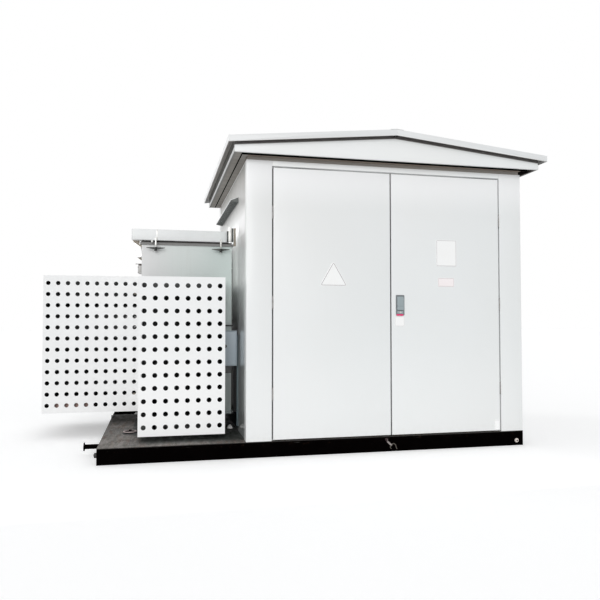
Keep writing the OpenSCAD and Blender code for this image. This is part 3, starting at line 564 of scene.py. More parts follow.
def tank_shading(finish):
    """Lays painted light and shade on the tank: a paler left part, a darker, greener right part,
    and painted shade on its right edge, behind the guards, on the side facing the cabin low down
    and on the front under the junction box."""
    x, y, z = finish.x, finish.y, finish.z
    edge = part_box("tank_body")[1][0]
    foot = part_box("junction_box")[0][2]
    front = finish.turned("-Y")
    # Painted light on the left, painted shade towards the cabin on the right.
    finish.lay(x.fall(-1.6, -1.2), (0.70, 0.70, 0.70))
    finish.lay(x.ramp(-1.25, -0.8) * 0.8, (0.53, 0.61, 0.585))
    # Painted shade on the right edge and on the side that faces the cabin.
    finish.lay(front * (x > edge - 0.010) * 0.7, (0.10, 0.09, 0.09))
    finish.lay(finish.turned("+X") * z.fall(1.05, 1.3), (0.03, 0.045, 0.055))
    # Painted shade on what hides behind the guards.
    behind_guard = front * (x < GUARD_RIGHT) * z.fall(1.50, 1.53)
    behind_left = finish.turned("-X") * (y > 0.1) * (z < 1.5)
    finish.lay(behind_guard + behind_left, HIDDEN_SHADE)
    # Painted shade under the junction box, black just under it and by the right edge.
    below_box = front * (x > GUARD_RIGHT) * (z < foot)
    finish.lay(below_box * 0.45, (0.02, 0.03, 0.03))
    deep = below_box * ((z > foot - 0.075) + (x > edge - 0.022))
    finish.lay(deep > 0.5, (0.006, 0.010, 0.009))


def moulded(base, roughness=0.5):
    """Moulded plastic or rubber with a fine grain."""
    finish = Finish(base)
    dusty = finish.noise(18.0, 4.0).ramp(0.5, 0.8)
    finish.lay(dusty * 0.35, tuple(part + 0.05 for part in base))
    grain = finish.bump(finish.noise(700.0, 2.0, 0.6), 0.0002, 0.5)
    return finish.done(roughness + 0.15 * dusty, grain)


def plate_enamel(base):
    """Baked enamel of a bare sign plate: white, glossy, with faint rub marks."""
    finish = Finish(base, coat=0.4)
    rubs = finish.noise(1.0, 4.0, 0.7, (60.0, 60.0, 9.0)).ramp(0.62, 0.75)
    finish.lay(finish.noise(11.0, 3.0).ramp(0.4, 0.75) * 0.5, tint(base, 0.985, 0.975, 0.97))
    finish.lay(rubs * 0.12, shade(base, 0.82))
    return finish.done(0.26 + 0.2 * rubs, finish.bump(finish.noise(380.0, 2.0), 0.0002, 0.2))


MATERIALS = {}


def make_materials():
    """One material for each of the record's slots, and one for each finish that only small
    pieces have."""
    paint = bpy.context.scene.substation_paint
    rough = paint.sheet_roughness

    def of(key, by=1.0):
        return shade(tuple(getattr(paint, key)), by)

    def matt(base, roughness, cloud=0.8, spec=0.5, over=None):
        return powder_coat(base, roughness, cloud, coat=0.0, spec=spec, over=over)

    # After the base colour: powder coats and matt ones have roughness, clouds and, for matt,
    # the specular level; plated steel has roughness and spangle; the tank's enamels have dirt,
    # coat and specular level; moulded finishes have roughness.
    MATERIALS.update(
        # pale and crown lay painted light: the walls are paler low down and at the top.
        cabin_paint=powder_coat(of("cabin"), rough, 0.8, dust=0.10, pale=0.25, crown=0.75),
        # The door header and the gables' fascias are lighter copies of the cabin's paint: painted
        # light.
        header_paint=powder_coat(of("cabin", 1.14), rough, 0.8),
        gable_paint=powder_coat(of("cabin", 1.10), rough, 0.8, over=gable_lip_shadow),
        # The pans' undersides take a darker colour: painted shade.
        roof_paint=powder_coat(
            of("roof"), rough + 0.08, 0.6, coat=0.1, under=(0.66, 0.63, 0.60)
        ),
        # pale lays painted light: the guards are paler low down; over lays painted shade on their
        # inner faces.
        guard_paint=powder_coat(
            of("guard"), rough + 0.05, 0.5, coat=0.0, spec=0.15, wave=0.0008, pale=0.8,
            over=guard_inner_shade,
        ),
        box_paint=powder_coat(of("box"), 0.34, 0.5),
        lock_steel=powder_coat(of("lock"), 0.32, 0.3),
        lock_rim=powder_coat(of("lock_rim"), 0.4, 0.3),
        side_paint=side_enamel(of("cabin")),
        shade_paint=soffit_sheet(of("eaves")),
        base_paint=black_enamel(of("base")),
        deck_plate=deck_plate(of("deck")),
        neck_paint=matt(of("neck"), 0.5),
        neck_side=matt(of("cabin"), 0.4),
        # The hem is a darker copy of the cabin's paint: painted shade.
        hem_paint=matt(of("cabin", 0.75), 0.5, 0.5, 0.1),
        # The fascia's sides are the same white sheet as the front, given a grey: painted shade.
        fascia_side=matt((0.36, 0.35, 0.335), 0.6, 0.8, 0.0, hem_line),
        rear_plate=matt((0.004, 0.0035, 0.0035), 0.6, 0.5, 0.0),
        rim_paint=matt(of("rim"), 0.4, 0.8, 0.1, rim_gap),
        strap_zinc=matt((0.095, 0.085, 0.070), 0.5, 0.8, 0.2, strap_tone),
        # The ring's near-black colour is painted shade on its lower faces, under its painted lit
        # top.
        ring_paint=matt((0.006, 0.005, 0.005), 0.5, 0.5, 0.1, ring_lit_top),
        foot_primer=matt((0.50, 0.33, 0.29), 0.5, 0.8, 0.0, foot_shadow),
        nut_zinc=matt((0.72, 0.65, 0.60), 0.4),
        bolt_zinc=matt((0.93, 0.93, 0.91), 0.4),
        zinc=plated_steel(of("zinc")),
        inner_zinc=plated_steel(of("zinc", 0.95), 0.45, 0.5),
        hinge_steel=plated_steel((0.30, 0.295, 0.29), 0.45, 0.1),
        wing_steel=plated_steel((0.06, 0.062, 0.06), 0.42, 0.15),
        tank_paint=tank_enamel(of("tank"), over=tank_shading),
        # The cover's underside takes a near-white colour: painted light.
        cover_paint=tank_enamel(of("cover"), 0.12, 0.1, under=(0.96, 0.96, 0.96)),
        # A darker copy of the radiator colour: more painted shade behind the guards' holes.
        radiator_paint=tank_enamel(of("radiator", 0.6), 0.3, 0.0, 0.1),
        valve_paint=tank_enamel((0.42, 0.41, 0.40), 0.4, 0.1),
        valve_bonnet=tank_enamel((0.045, 0.032, 0.025), 0.4, 0.0),
        gusset_paint=tank_enamel(of("gusset"), 0.4, 0.0),
        dark_mesh=moulded((0.12, 0.13, 0.125)),
        black_plastic=moulded((0.018, 0.018, 0.018), 0.42),
        # Dark teal for the angle in the gap beside the tank: painted shade.
        gap_enamel=moulded((0.13, 0.18, 0.195)),
        seal_rubber=moulded((0.012, 0.012, 0.013), 0.8),
        sign_enamel=plate_enamel(of("plate")),
        name_enamel=plate_enamel(tint(of("plate"), 1.0, 0.93, 0.94)),
        rim_line=moulded((0.40, 0.38, 0.39), 0.4),
        seal_strip=moulded(of("seal_strip"), 0.35),
    )
    for name, material in MATERIALS.items():
        material.name = name + "_finish"


# ---- modelling by hand -------------------------------------------------------

ALONG_X, ALONG_Y, ALONG_Z = Vector((1, 0, 0)), Vector((0, 1, 0)), Vector((0, 0, 1))
FORWARD = -ALONG_Y
ON_Y = (radians(90), 0, 0)


def clear_selection():
    """Nothing selected, in object mode."""
    if bpy.context.object and bpy.context.object.mode != "OBJECT":
        bpy.ops.object.mode_set(mode="OBJECT")
    bpy.ops.object.select_all(action="DESELECT")


def grab(*pieces):
    """Selects some pieces and nothing else, the first one active."""
    clear_selection()
    for piece in pieces:
        piece.select_set(True)
    bpy.context.view_layer.objects.active = pieces[0]


def placed(name):
    """Names the active object and moves its place, turn and size into its mesh."""
    bpy.context.object.name = name
    bpy.ops.object.transform_apply(location=True, rotation=True, scale=True)
    return bpy.context.object


def block(name, low, high):
    """A box between two corners, ready to be shaped."""
    clear_selection()
    low, high = Vector(low), Vector(high)
    bpy.ops.mesh.primitive_cube_add(size=1, location=(low + high) / 2, scale=high - low)
    return placed(name)


def rod(name, centre, radius, depth, turn=(0, 0, 0), sides=24):
    """A round bar about a centre, along Z until it is turned."""
    clear_selection()
    bpy.ops.mesh.primitive_cylinder_add(
        vertices=sides, radius=radius, depth=depth, location=centre, rotation=turn
    )
    return placed(name)


@contextmanager
def shaping(piece):
    """Edit mode on one piece."""
    grab(piece)
    bpy.ops.object.mode_set(mode="EDIT")
    yield
    bpy.ops.object.mode_set(mode="OBJECT")


def pick(piece, kind, test):
    """Selects the faces or edges that pass a test, in edit mode."""
    bpy.ops.mesh.select_mode(type=kind)
    bpy.ops.mesh.select_all(action="DESELECT")
    mesh = bmesh.from_edit_mesh(piece.data)
    for item in mesh.faces if kind == "FACE" else mesh.edges:
        if test(item):
            item.select_set(True)
    bmesh.update_edit_mesh(piece.data)


def middle(item):
    """Middle of a face or an edge."""
    return sum((v.co for v in item.verts), Vector()) / len(item.verts)


def runs(way, also=lambda edge: True):
    """Test for the edges that run along an axis."""

    def test(edge):
        line = (edge.verts[1].co - edge.verts[0].co).normalized()
        return abs(line.dot(way)) > 0.999 and also(edge)

    return test


def looks(way, also=lambda face: True):
    """Test for the faces that look along a direction."""
    return lambda face: face.normal.dot(way) > 0.9 and also(face)


def rounded(piece, kind, test, width, steps=2):
    """Bevels the faces or edges of a piece that pass a test."""
    with shaping(piece):
        pick(piece, kind, test)
        bpy.ops.mesh.bevel(offset=width, segments=steps, affect="EDGES")
    return piece


def sunk(piece, test, *steps):
    """Insets the faces that pass a test, once for each pair of a width and a depth."""
    with shaping(piece):
        pick(piece, "FACE", test)
        for width, depth in steps:
            bpy.ops.mesh.inset(thickness=width, depth=depth)
    return piece


def drawn_out(piece, test, shift):
    """Extrudes the faces that pass a test by a shift."""
    with shaping(piece):
        pick(piece, "FACE", test)
        bpy.ops.mesh.extrude_region_move(TRANSFORM_OT_translate={"value": shift})
    return piece


def parted(piece, way, *places):
    """Cuts a piece's faces across an axis, at each of some places."""
    with shaping(piece):
        for place in places:
            bpy.ops.mesh.select_all(action="SELECT")
            bpy.ops.mesh.bisect(plane_co=place, plane_no=way)
    return piece


def eased(piece, width, steps=2, angle=30):
    """Rounds a piece's sharp edges with a bevel."""
    grab(piece)
    bevel = piece.modifiers.new("eased_edges", "BEVEL")
    bevel.width = width
    bevel.segments = steps
    bevel.limit_method = "ANGLE"
    bevel.angle_limit = radians(angle)
    bpy.ops.object.modifier_apply(modifier=bevel.name)
    return piece


def weld(*pieces):
    """Joins pieces into the first one."""
    grab(*pieces)
    bpy.ops.object.join()
    return pieces[0]


def dress(piece, *materials, body="enclosure", slot=None, instead_of=None):
    """Gives a finished piece its materials and its body, and hides the CAD node it replaces; its
    slot is not used.
    """
    grab(piece)
    bpy.ops.object.shade_smooth_by_angle(angle=radians(35))
    parts = [face.material_index for face in piece.data.polygons]
    piece.data.materials.clear()
    for material in materials:
        piece.data.materials.append(MATERIALS[material])
    if len(materials) > 1:
        for face, part in zip(piece.data.polygons, parts):
            face.material_index = part
    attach(piece, body)
    if instead_of:
        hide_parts(instead_of)


def folded(node, sides, width, steps):
    """A merged copy of a CAD node with round edges on the named sides of its box."""
    box = dict(zip("-+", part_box(node)))
    axes = [(sign, "xyz".index(letter)) for sign, letter in sides.split()]
    levels = [(axis, box[sign][axis]) for sign, axis in axes]
    piece = bpy.data.objects.new(node + "_folded", frame["nodes"][node].data.copy())
    bpy.context.scene.collection.objects.link(piece)

    def on_side(face):
        return any(all(abs(v.co[k] - level) < 0.0001 for v in face.verts) for k, level in levels)

    def fold(edge):
        return edge.calc_face_angle_signed(0) > 0.5 and any(map(on_side, edge.link_faces))

    with shaping(piece):
        bpy.ops.mesh.select_all(action="SELECT")
        bpy.ops.mesh.remove_doubles(threshold=0.00002)
        bpy.ops.mesh.dissolve_limited(angle_limit=radians(0.5))
    return rounded(piece, "EDGE", fold, width, steps)


def plate_shaped(piece, corner, edge, steps=5):
    """Rounds the corners of a plate that faces -Y, and eases its face."""
    rounded(piece, "EDGE", runs(ALONG_Y), corner, steps)
    return rounded(piece, "FACE", looks(FORWARD), edge)


def tapered(piece, way, scale, centre):
    """Shrinks the end of a piece that looks along a direction, about a centre."""
    with shaping(piece):
        pick(piece, "FACE", looks(way))
        bpy.ops.transform.resize(value=scale, center_override=centre)
    return piece


def lined(piece, margin, width):
    """A thin line near the edge of a plate's face, in the piece's second material."""
    with shaping(piece):
        pick(piece, "FACE", looks(FORWARD, lambda face: len(face.edges) > 4))
        for thickness in (margin, width):
            bpy.ops.mesh.inset(thickness=thickness, depth=0)
        mesh = bmesh.from_edit_mesh(piece.data)
        for face in [f for f in mesh.faces if f.select]:
            for beside in (f for edge in face.edges for f in edge.link_faces if f is not face):
                beside.material_index = 1
        bmesh.update_edit_mesh(piece.data)


def copied(piece, name, shift, mirror_y=None):
    """A copy of a piece with its own mesh, shifted, or mirrored about a plane across Y."""
    twin = bpy.data.objects.new(name, piece.data.copy())
    bpy.context.scene.collection.objects.link(twin)
    with shaping(twin):
        bpy.ops.mesh.select_all(action="SELECT")
        if mirror_y is not None:
            bpy.ops.transform.mirror(
                orient_type="GLOBAL", constraint_axis=(False, True, False),
                center_override=(0, mirror_y, 0),
            )
            bpy.ops.mesh.normals_make_consistent(inside=False)
        bpy.ops.transform.translate(value=shift)
    return twin


# ---- operators ---------------------------------------------------------------


class Builder:
    """What the operators share."""

    bl_options = {"REGISTER", "UNDO"}


class SUBSTATION_OT_paint_frame(Builder, bpy.types.Operator):
    """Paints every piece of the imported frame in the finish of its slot."""

    bl_idname = "substation.paint_frame"
    bl_label = "Paint the frame"

    SPECIAL = {
        "neck_frame_ends": "neck_paint",
        "neck_frame_sides": "neck_side",
        "left_wall": "side_paint",
        "fascia_sides": "fascia_side",
        "bay_rear_plate": "rear_plate",
        "earth_lug": "strap_zinc",
        "deck_handle": "ring_paint",
    }

    def execute(self, context):
        make_materials()
        for row in frame["record"]["subparts"]:
            materials = frame["nodes"][row["node"]].data.materials
            materials.clear()
            materials.append(MATERIALS[self.SPECIAL.get(row["node"], row["material_slot"])])
        return {"FINISHED"}


class SUBSTATION_OT_sheet_metal(Builder, bpy.types.Operator):
    """Rounds the folds of the sheets that show their edges."""

    bl_idname = "substation.sheet_metal"
    bl_label = "Fold the sheet metal"

    SIDES = {
        "front_post_left": "-y -x",
        "front_post_right": "-y +x",
        "rear_posts": "+y -x +x",
        "door_header": "-y",
        "left_leaf": "-y",
        "right_leaf": "-y",
        "fascia_front": "-y",
        "fascia_rear": "+y",
        "roof_pan_left": "-y +y -x",
        "roof_pan_right": "-y +y +x",
        "tank_body": "-y +y -x +x",
        "tank_cover": "-y +y -x +x +z",
        "junction_box": "-y -x +x +z",
        "base_long_channels": "-y +y",
    }
    FINISH = {
        "fascia_front": "gable_paint", "fascia_rear": "gable_paint", "door_header": "header_paint"
    }
    DOORS = {"left_leaf": "left_door", "right_leaf": "right_door"}

    def execute(self, context):
        trim = context.scene.substation_trim
        slots = {row["node"]: row["material_slot"] for row in frame["record"]["subparts"]}
        for node, sides in self.SIDES.items():
            piece = folded(node, sides, trim.fold_r, trim.fold_steps)
            slot, body = slots[node], self.DOORS.get(node, "enclosure")
            dress(piece, self.FINISH.get(node, slot), body=body, slot=slot, instead_of=node)
        return {"FINISHED"}


class SUBSTATION_OT_seals(Builder, bpy.types.Operator):
    """Puts black rubber seals behind the gaps round the door leaves."""

    bl_idname = "substation.seals"
    bl_label = "Fit the door seals"

    THICKNESS = 0.005
    GAP = 0.012
    LIP = 0.008

    def seal(self, name, low, high, body="enclosure"):
        """One seal between two corners, with round front edges."""
        across = runs(ALONG_Y)

        def front_edge(edge):
            return middle(edge).y < (low[1] + high[1]) / 2 and not across(edge)

        piece = rounded(block(name, low, high), "EDGE", front_edge, 0.0015, 3)
        dress(piece, "seal_rubber", body=body)

    def execute(self, context):
        width = context.scene.substation_trim.seal_w
        left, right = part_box("left_leaf"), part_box("right_leaf")
        stop = left[1][1] + 0.006
        front = stop - self.THICKNESS
        foot, top = left[0][2], left[1][2]
        start, end = left[0][0] - self.GAP, right[1][0] + self.GAP
        self.seal("door_seal_left", (start, front, foot), (start + width, stop, top))
        self.seal("door_seal_right", (end - width, front, foot), (end, stop, top))
        low = (start + width + 0.001, front, top + self.GAP - width)
        self.seal("door_seal_top", low, (end - width - 0.001, stop, top + self.GAP))
        lip = (left[1][0], left[0][1] + 0.012, foot + 0.002)
        high = (lip[0] + self.LIP, lip[1] + self.LIP, top - 0.002)
        self.seal("door_seal_middle", lip, high, "left_door")
        return {"FINISHED"}


class SUBSTATION_OT_plates(Builder, bpy.types.Operator):
    """Fixes the bare enamel plates and labels on the leaves."""

    bl_idname = "substation.plates"
    bl_label = "Fix the bare plates"

    EDGE = 0.0006
    TRIANGLE_CORNER = 0.030
    # Middles of the plates, then the low left and the high right corners of the labels, in X
    # and Z
    TRIANGLE = (0.0675, 1.5335)
    NOTICE = (1.1395, 1.7735)
    NAME = (1.135, 1.507)
    LOCK_LABEL = (0.636, 1.106), (0.728, 1.198)
    FOOT_LABEL = (1.608, 0.149), (1.664, 0.242)

    def plate(self, name, low, high, corner, line, face="sign_enamel"):
        """A plate between two corners given as X and Z, with a line at a margin and a width."""
        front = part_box("left_leaf")[0][1]
        back = front - bpy.context.scene.substation_trim.plate_t
        piece = block(name, (low[0], back, low[1]), (high[0], front, high[1]))
        plate_shaped(piece, corner, self.EDGE)
        lined(piece, *line)
        dress(piece, face, "rim_line", body="right_door")

    def centred(self, name, centre, width, height, *rest):
        """A plate about its middle, given as X and Z."""
        low = (centre[0] - width / 2, centre[1] - height / 2)
        self.plate(name, low, (low[0] + width, low[1] + height), *rest)

    def triangle(self, side, thick):
        """Triangular plate with round corners, on the left leaf."""
        clear_selection()
        radius = side / sqrt(3) + 0.014
        bpy.ops.mesh.primitive_cylinder_add(vertices=3, radius=radius, depth=thick)
        bpy.context.object.rotation_euler = ON_Y
        piece = placed("triangle_plate")
        plate_shaped(piece, self.TRIANGLE_CORNER, self.EDGE, 6)
        place = (self.TRIANGLE[0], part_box("left_leaf")[0][1] - thick / 2, self.TRIANGLE[1])
        with shaping(piece):
            bpy.ops.mesh.select_all(action="SELECT")
            bpy.ops.transform.translate(value=place)
        lined(piece, 0.006, 0.005)
        dress(piece, "sign_enamel", "rim_line", body="left_door")

    def execute(self, context):
        trim = context.scene.substation_trim
        self.triangle(trim.hazard_side, trim.plate_t)
        self.centred(
            "notice_plate", self.NOTICE, trim.notice_w, trim.notice_h, 0.010, (0.004, 0.003)
        )
        self.centred(
            "name_plate", self.NAME, trim.name_w, trim.name_h, 0.008, (0.003, 0.002), "name_enamel"
        )
        self.plate("lock_label", *self.LOCK_LABEL, 0.007, (0.003, 0.0015))
        self.plate("foot_label", *self.FOOT_LABEL, 0.006, (0.0025, 0.0015))
        return {"FINISHED"}


class SUBSTATION_OT_lock(Builder, bpy.types.Operator):
    """Builds the paddle lock of the right leaf: case, paddle, barrel with its slit, and strip."""

    bl_idname = "substation.lock"
    bl_label = "Build the lock"

    # Levels under the lock's top edge, from the lower to the upper one
    PADDLE = (0.134, 0.014)
    GROOVE = 0.103
    FINGER_LINE = 0.040
    SEAT = (0.168, 0.143)
    BARREL = 0.156
    SLIT = (0.1615, 0.1505)
    STRIP = (0.186, 0.171)

    def execute(self, context):
        trim = context.scene.substation_trim
        low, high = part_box("lock_plate")
        front, top = high[1], high[2]
        centre = (low[0] + high[0]) / 2

        def between(name, levels, left, right, out, back):
            """A box between two levels, two places beside the middle and two depths."""
            corner = (centre - left, front - out, top - levels[0])
            return block(name, corner, (centre + right, front - back, top - levels[1]))

        def fit(piece, material, slot="lock_steel", instead_of=None):
            dress(piece, material, body="right_door", slot=slot, instead_of=instead_of)

        half = trim.lock_w / 2
        case = between("lock_case", (trim.lock_h, 0.0), half, half, 0.007, 0.0)
        rounded(case, "EDGE", runs(ALONG_Y), 0.009, 5)
        sunk(case, looks(FORWARD), (0.0055, 0), (0.0008, -0.005))
        fit(eased(case, 0.0008, 2, 40), "lock_rim", instead_of="lock_plate")

        half = trim.paddle_w / 2
        paddle = between("lock_paddle", self.PADDLE, half, half, 0.016, 0.003)
        groove = top - self.GROOVE
        levels = (groove - 0.0018, groove + 0.0018, top - self.FINGER_LINE)
        parted(paddle, ALONG_Z, *((centre, front, level) for level in levels))
        in_groove = looks(FORWARD, lambda face: abs(middle(face).z - groove) < 0.002)
        drawn_out(paddle, in_groove, (0, 0.0025, 0))
        with shaping(paddle):
            for level, shift in zip(self.PADDLE, (-0.003, 0.006)):

                def outer(edge, z=top - level):
                    return abs(middle(edge).z - z) < 0.001 and middle(edge).y < front - 0.01

                pick(paddle, "EDGE", runs(ALONG_X, outer))
                bpy.ops.transform.translate(value=(0, shift, 0))
        fit(eased(paddle, 0.0012, 3), "lock_steel", instead_of="lock_handle")

        half = half - 0.002
        seat = between("lock_barrel_seat", self.SEAT, half, half, 0.0075, 0.002)
        rounded(seat, "EDGE", runs(ALONG_Y), 0.002, 3)
        place = (centre, front - 0.0095, top - self.BARREL)
        barrel = rod("lock_barrel", place, 0.0085, 0.006, ON_Y, 32)
        sunk(barrel, looks(FORWARD), (0.0018, 0), (0.0006, -0.0012))
        slit = between("key_slit", self.SLIT, 0.0011, 0.0011, 0.0124, 0.0105)
        fit(eased(seat, 0.0006), "lock_steel")
        fit(eased(barrel, 0.0004), "zinc", "zinc")
        fit(eased(slit, 0.0003), "black_plastic", "black_plastic")

        strip = between("rose_strip", self.STRIP, 0.036, 0.029, 0.0082, 0.0066)
        fit(plate_shaped(strip, 0.001, 0.0004), "seal_strip", None)
        return {"FINISHED"}


class SUBSTATION_OT_clamps(Builder, bpy.types.Operator):
    """Builds the clamps with wing nuts that hold the tank's cover down, and the cover's channel."""

    bl_idname = "substation.clamps"
    bl_label = "Build the cover's clamps"

    # Places of the clamps along X, and the level of their lips under the cover's edge
    LEFT, RIGHT = -1.454, -0.859
    LIP_LEVEL = -0.042

    def clamp(self, x, front, level):
        """One clamp under the cover's front edge, facing -Y."""

        def at(aside, back, up):
            return (x + aside, front + back, level + up)

        hook = block("clamp_hook", at(-0.010, -0.009, -0.006), at(0.010, 0, 0.020))
        sunk(hook, looks(ALONG_Z), (0.002, 0.003))
        stem = block("clamp_stem", at(-0.007, -0.008, -0.052), at(0.007, -0.001, 0))
        parted(stem, ALONG_Z, at(0, 0, self.LIP_LEVEL))
        lip = looks(ALONG_Y, lambda face: middle(face).z < level + self.LIP_LEVEL)
        drawn_out(stem, lip, (0, 0.030, 0))
        screw = rod("clamp_screw", at(0, 0.012, -0.072), 0.006, 0.056, sides=20)
        nut = rod("clamp_nut", at(0, 0.008, -0.080), 0.014, 0.034, sides=6)
        rounded(nut, "FACE", lambda face: abs(face.normal.z) > 0.9, 0.002)
        half = bpy.context.scene.substation_trim.wing_w / 2
        wing = block("clamp_wing", at(-half, 0.004, -0.083), at(half, 0.011, -0.063))
        parted(wing, ALONG_X, at(-0.018, 0, 0), at(0.018, 0, 0))
        for sign in (-1, 1):
            tapered(wing, sign * ALONG_X, (1, 0.6, 0.28), at(sign * half, 0.0075, -0.068))
        hook = weld(eased(hook, 0.0022, 3), eased(stem, 0.0015), screw)
        return hook, weld(nut, eased(wing, 0.0015))

    def flange(self):
        """Upright channel at the cover's right end: two plates in dark steel, their darkness
        painted shade, round a bright web, and a putty seam."""
        low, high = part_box("throat_flange")
        for k, (left, right, back, top, finish) in enumerate((
            (0.0, 0.013, 0.0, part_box("tank_cover")[1][2], "wing_steel"),
            (0.013, 0.043, 0.003, high[2], "zinc"),
            (0.043, high[0] - low[0], 0.0, high[2] - 0.012, "wing_steel"),
        )):
            corner = (low[0] + left, low[1] + back, low[2])
            plate = block("throat_flange_%d" % (k + 1), corner, (low[0] + right, high[1], top))
            dress(eased(plate, 0.0018, 3), finish, slot="zinc", instead_of="throat_flange")
        corner = (high[0] + 0.006, high[1], low[2] - 0.036)
        seam = block("throat_seam", corner, (high[0] + 0.028, high[1] + 0.012, high[2] - 0.006))
        dress(eased(seam, 0.003, 3), "gusset_paint")

    def execute(self, context):
        low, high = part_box("tank_cover")
        front, foot = low[1], low[2]
        mid = (front + high[1]) / 2
        across = self.RIGHT - self.LEFT
        shown = []
        for part, name in zip(self.clamp(self.LEFT, front, foot), ("clamp", "clamp_wing")):
            part.name = name + "_front_left"
            shown += [
                part,
                copied(part, name + "_front_right", (across, 0, 0)),
                copied(part, name + "_rear_left", (0, 0, 0), mid),
                copied(part, name + "_rear_right", (across, 0, 0), mid),
            ]
        corner = (self.LEFT + 0.007, front - 0.003, foot + 0.004)
        bar = block("clamp_bar", corner, (self.LEFT + 0.016, front, high[2]))
        place = (self.LEFT - 0.033, front + 0.012, foot - 0.010)
        bead = rod("clamp_bead", place, 0.011, 0.020, sides=20)
        for piece in (*shown, eased(bar, 0.001), eased(bead, 0.003, 3)):
            material = "wing_steel" if "wing" in piece.name else "zinc"
            dress(piece, material, slot="zinc", instead_of="cover_clamps")
        self.flange()
        return {"FINISHED"}


class SUBSTATION_OT_valve(Builder, bpy.types.Operator):
    """Builds the oil valve on the tank's left side: a flanged block, a bonnet and a thin lever."""

    bl_idname = "substation.valve"
    bl_label = "Build the oil valve"

    def execute(self, context):
        low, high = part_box("oil_valve")
        left, right = low[0], high[0]
        mid = (low[1] + high[1]) / 2
        top = high[2] - 0.012
        shoulder = top - 0.014
        corner = (left + 0.006, low[1] + 0.008, low[2])
        body = block("valve_body", corner, (right, high[1] - 0.008, shoulder))
        outer_edges = runs(ALONG_Y, lambda edge: middle(edge).x < left + 0.01)
        rounded(body, "EDGE", outer_edges, 0.006, 3)
        with shaping(body):
            pick(body, "FACE", looks(-ALONG_X))
            bpy.ops.mesh.inset(thickness=0.012, depth=0)
            bpy.ops.mesh.extrude_region_move(TRANSFORM_OT_translate={"value": (-0.006, 0, 0)})
        corner = (left + 0.004, low[1] + 0.02, shoulder)
        bonnet = block("valve_bonnet", corner, (right, high[1] - 0.02, top))
        tip = left - 0.022
        corner = (right - 0.004, mid + 0.012, top + 0.007)
        lever = block("valve_lever", (tip, mid - 0.012, top), corner)
        tapered(lever, -ALONG_X, (1, 0.7, 0.6), (tip, mid, top + 0.006))
        for piece, material in (
            (eased(body, 0.0015), "valve_paint"),
            (weld(eased(bonnet, 0.002), eased(lever, 0.001)), "valve_bonnet"),
        ):
            dress(piece, material, slot="tank_paint", instead_of="oil_valve")
        return {"FINISHED"}


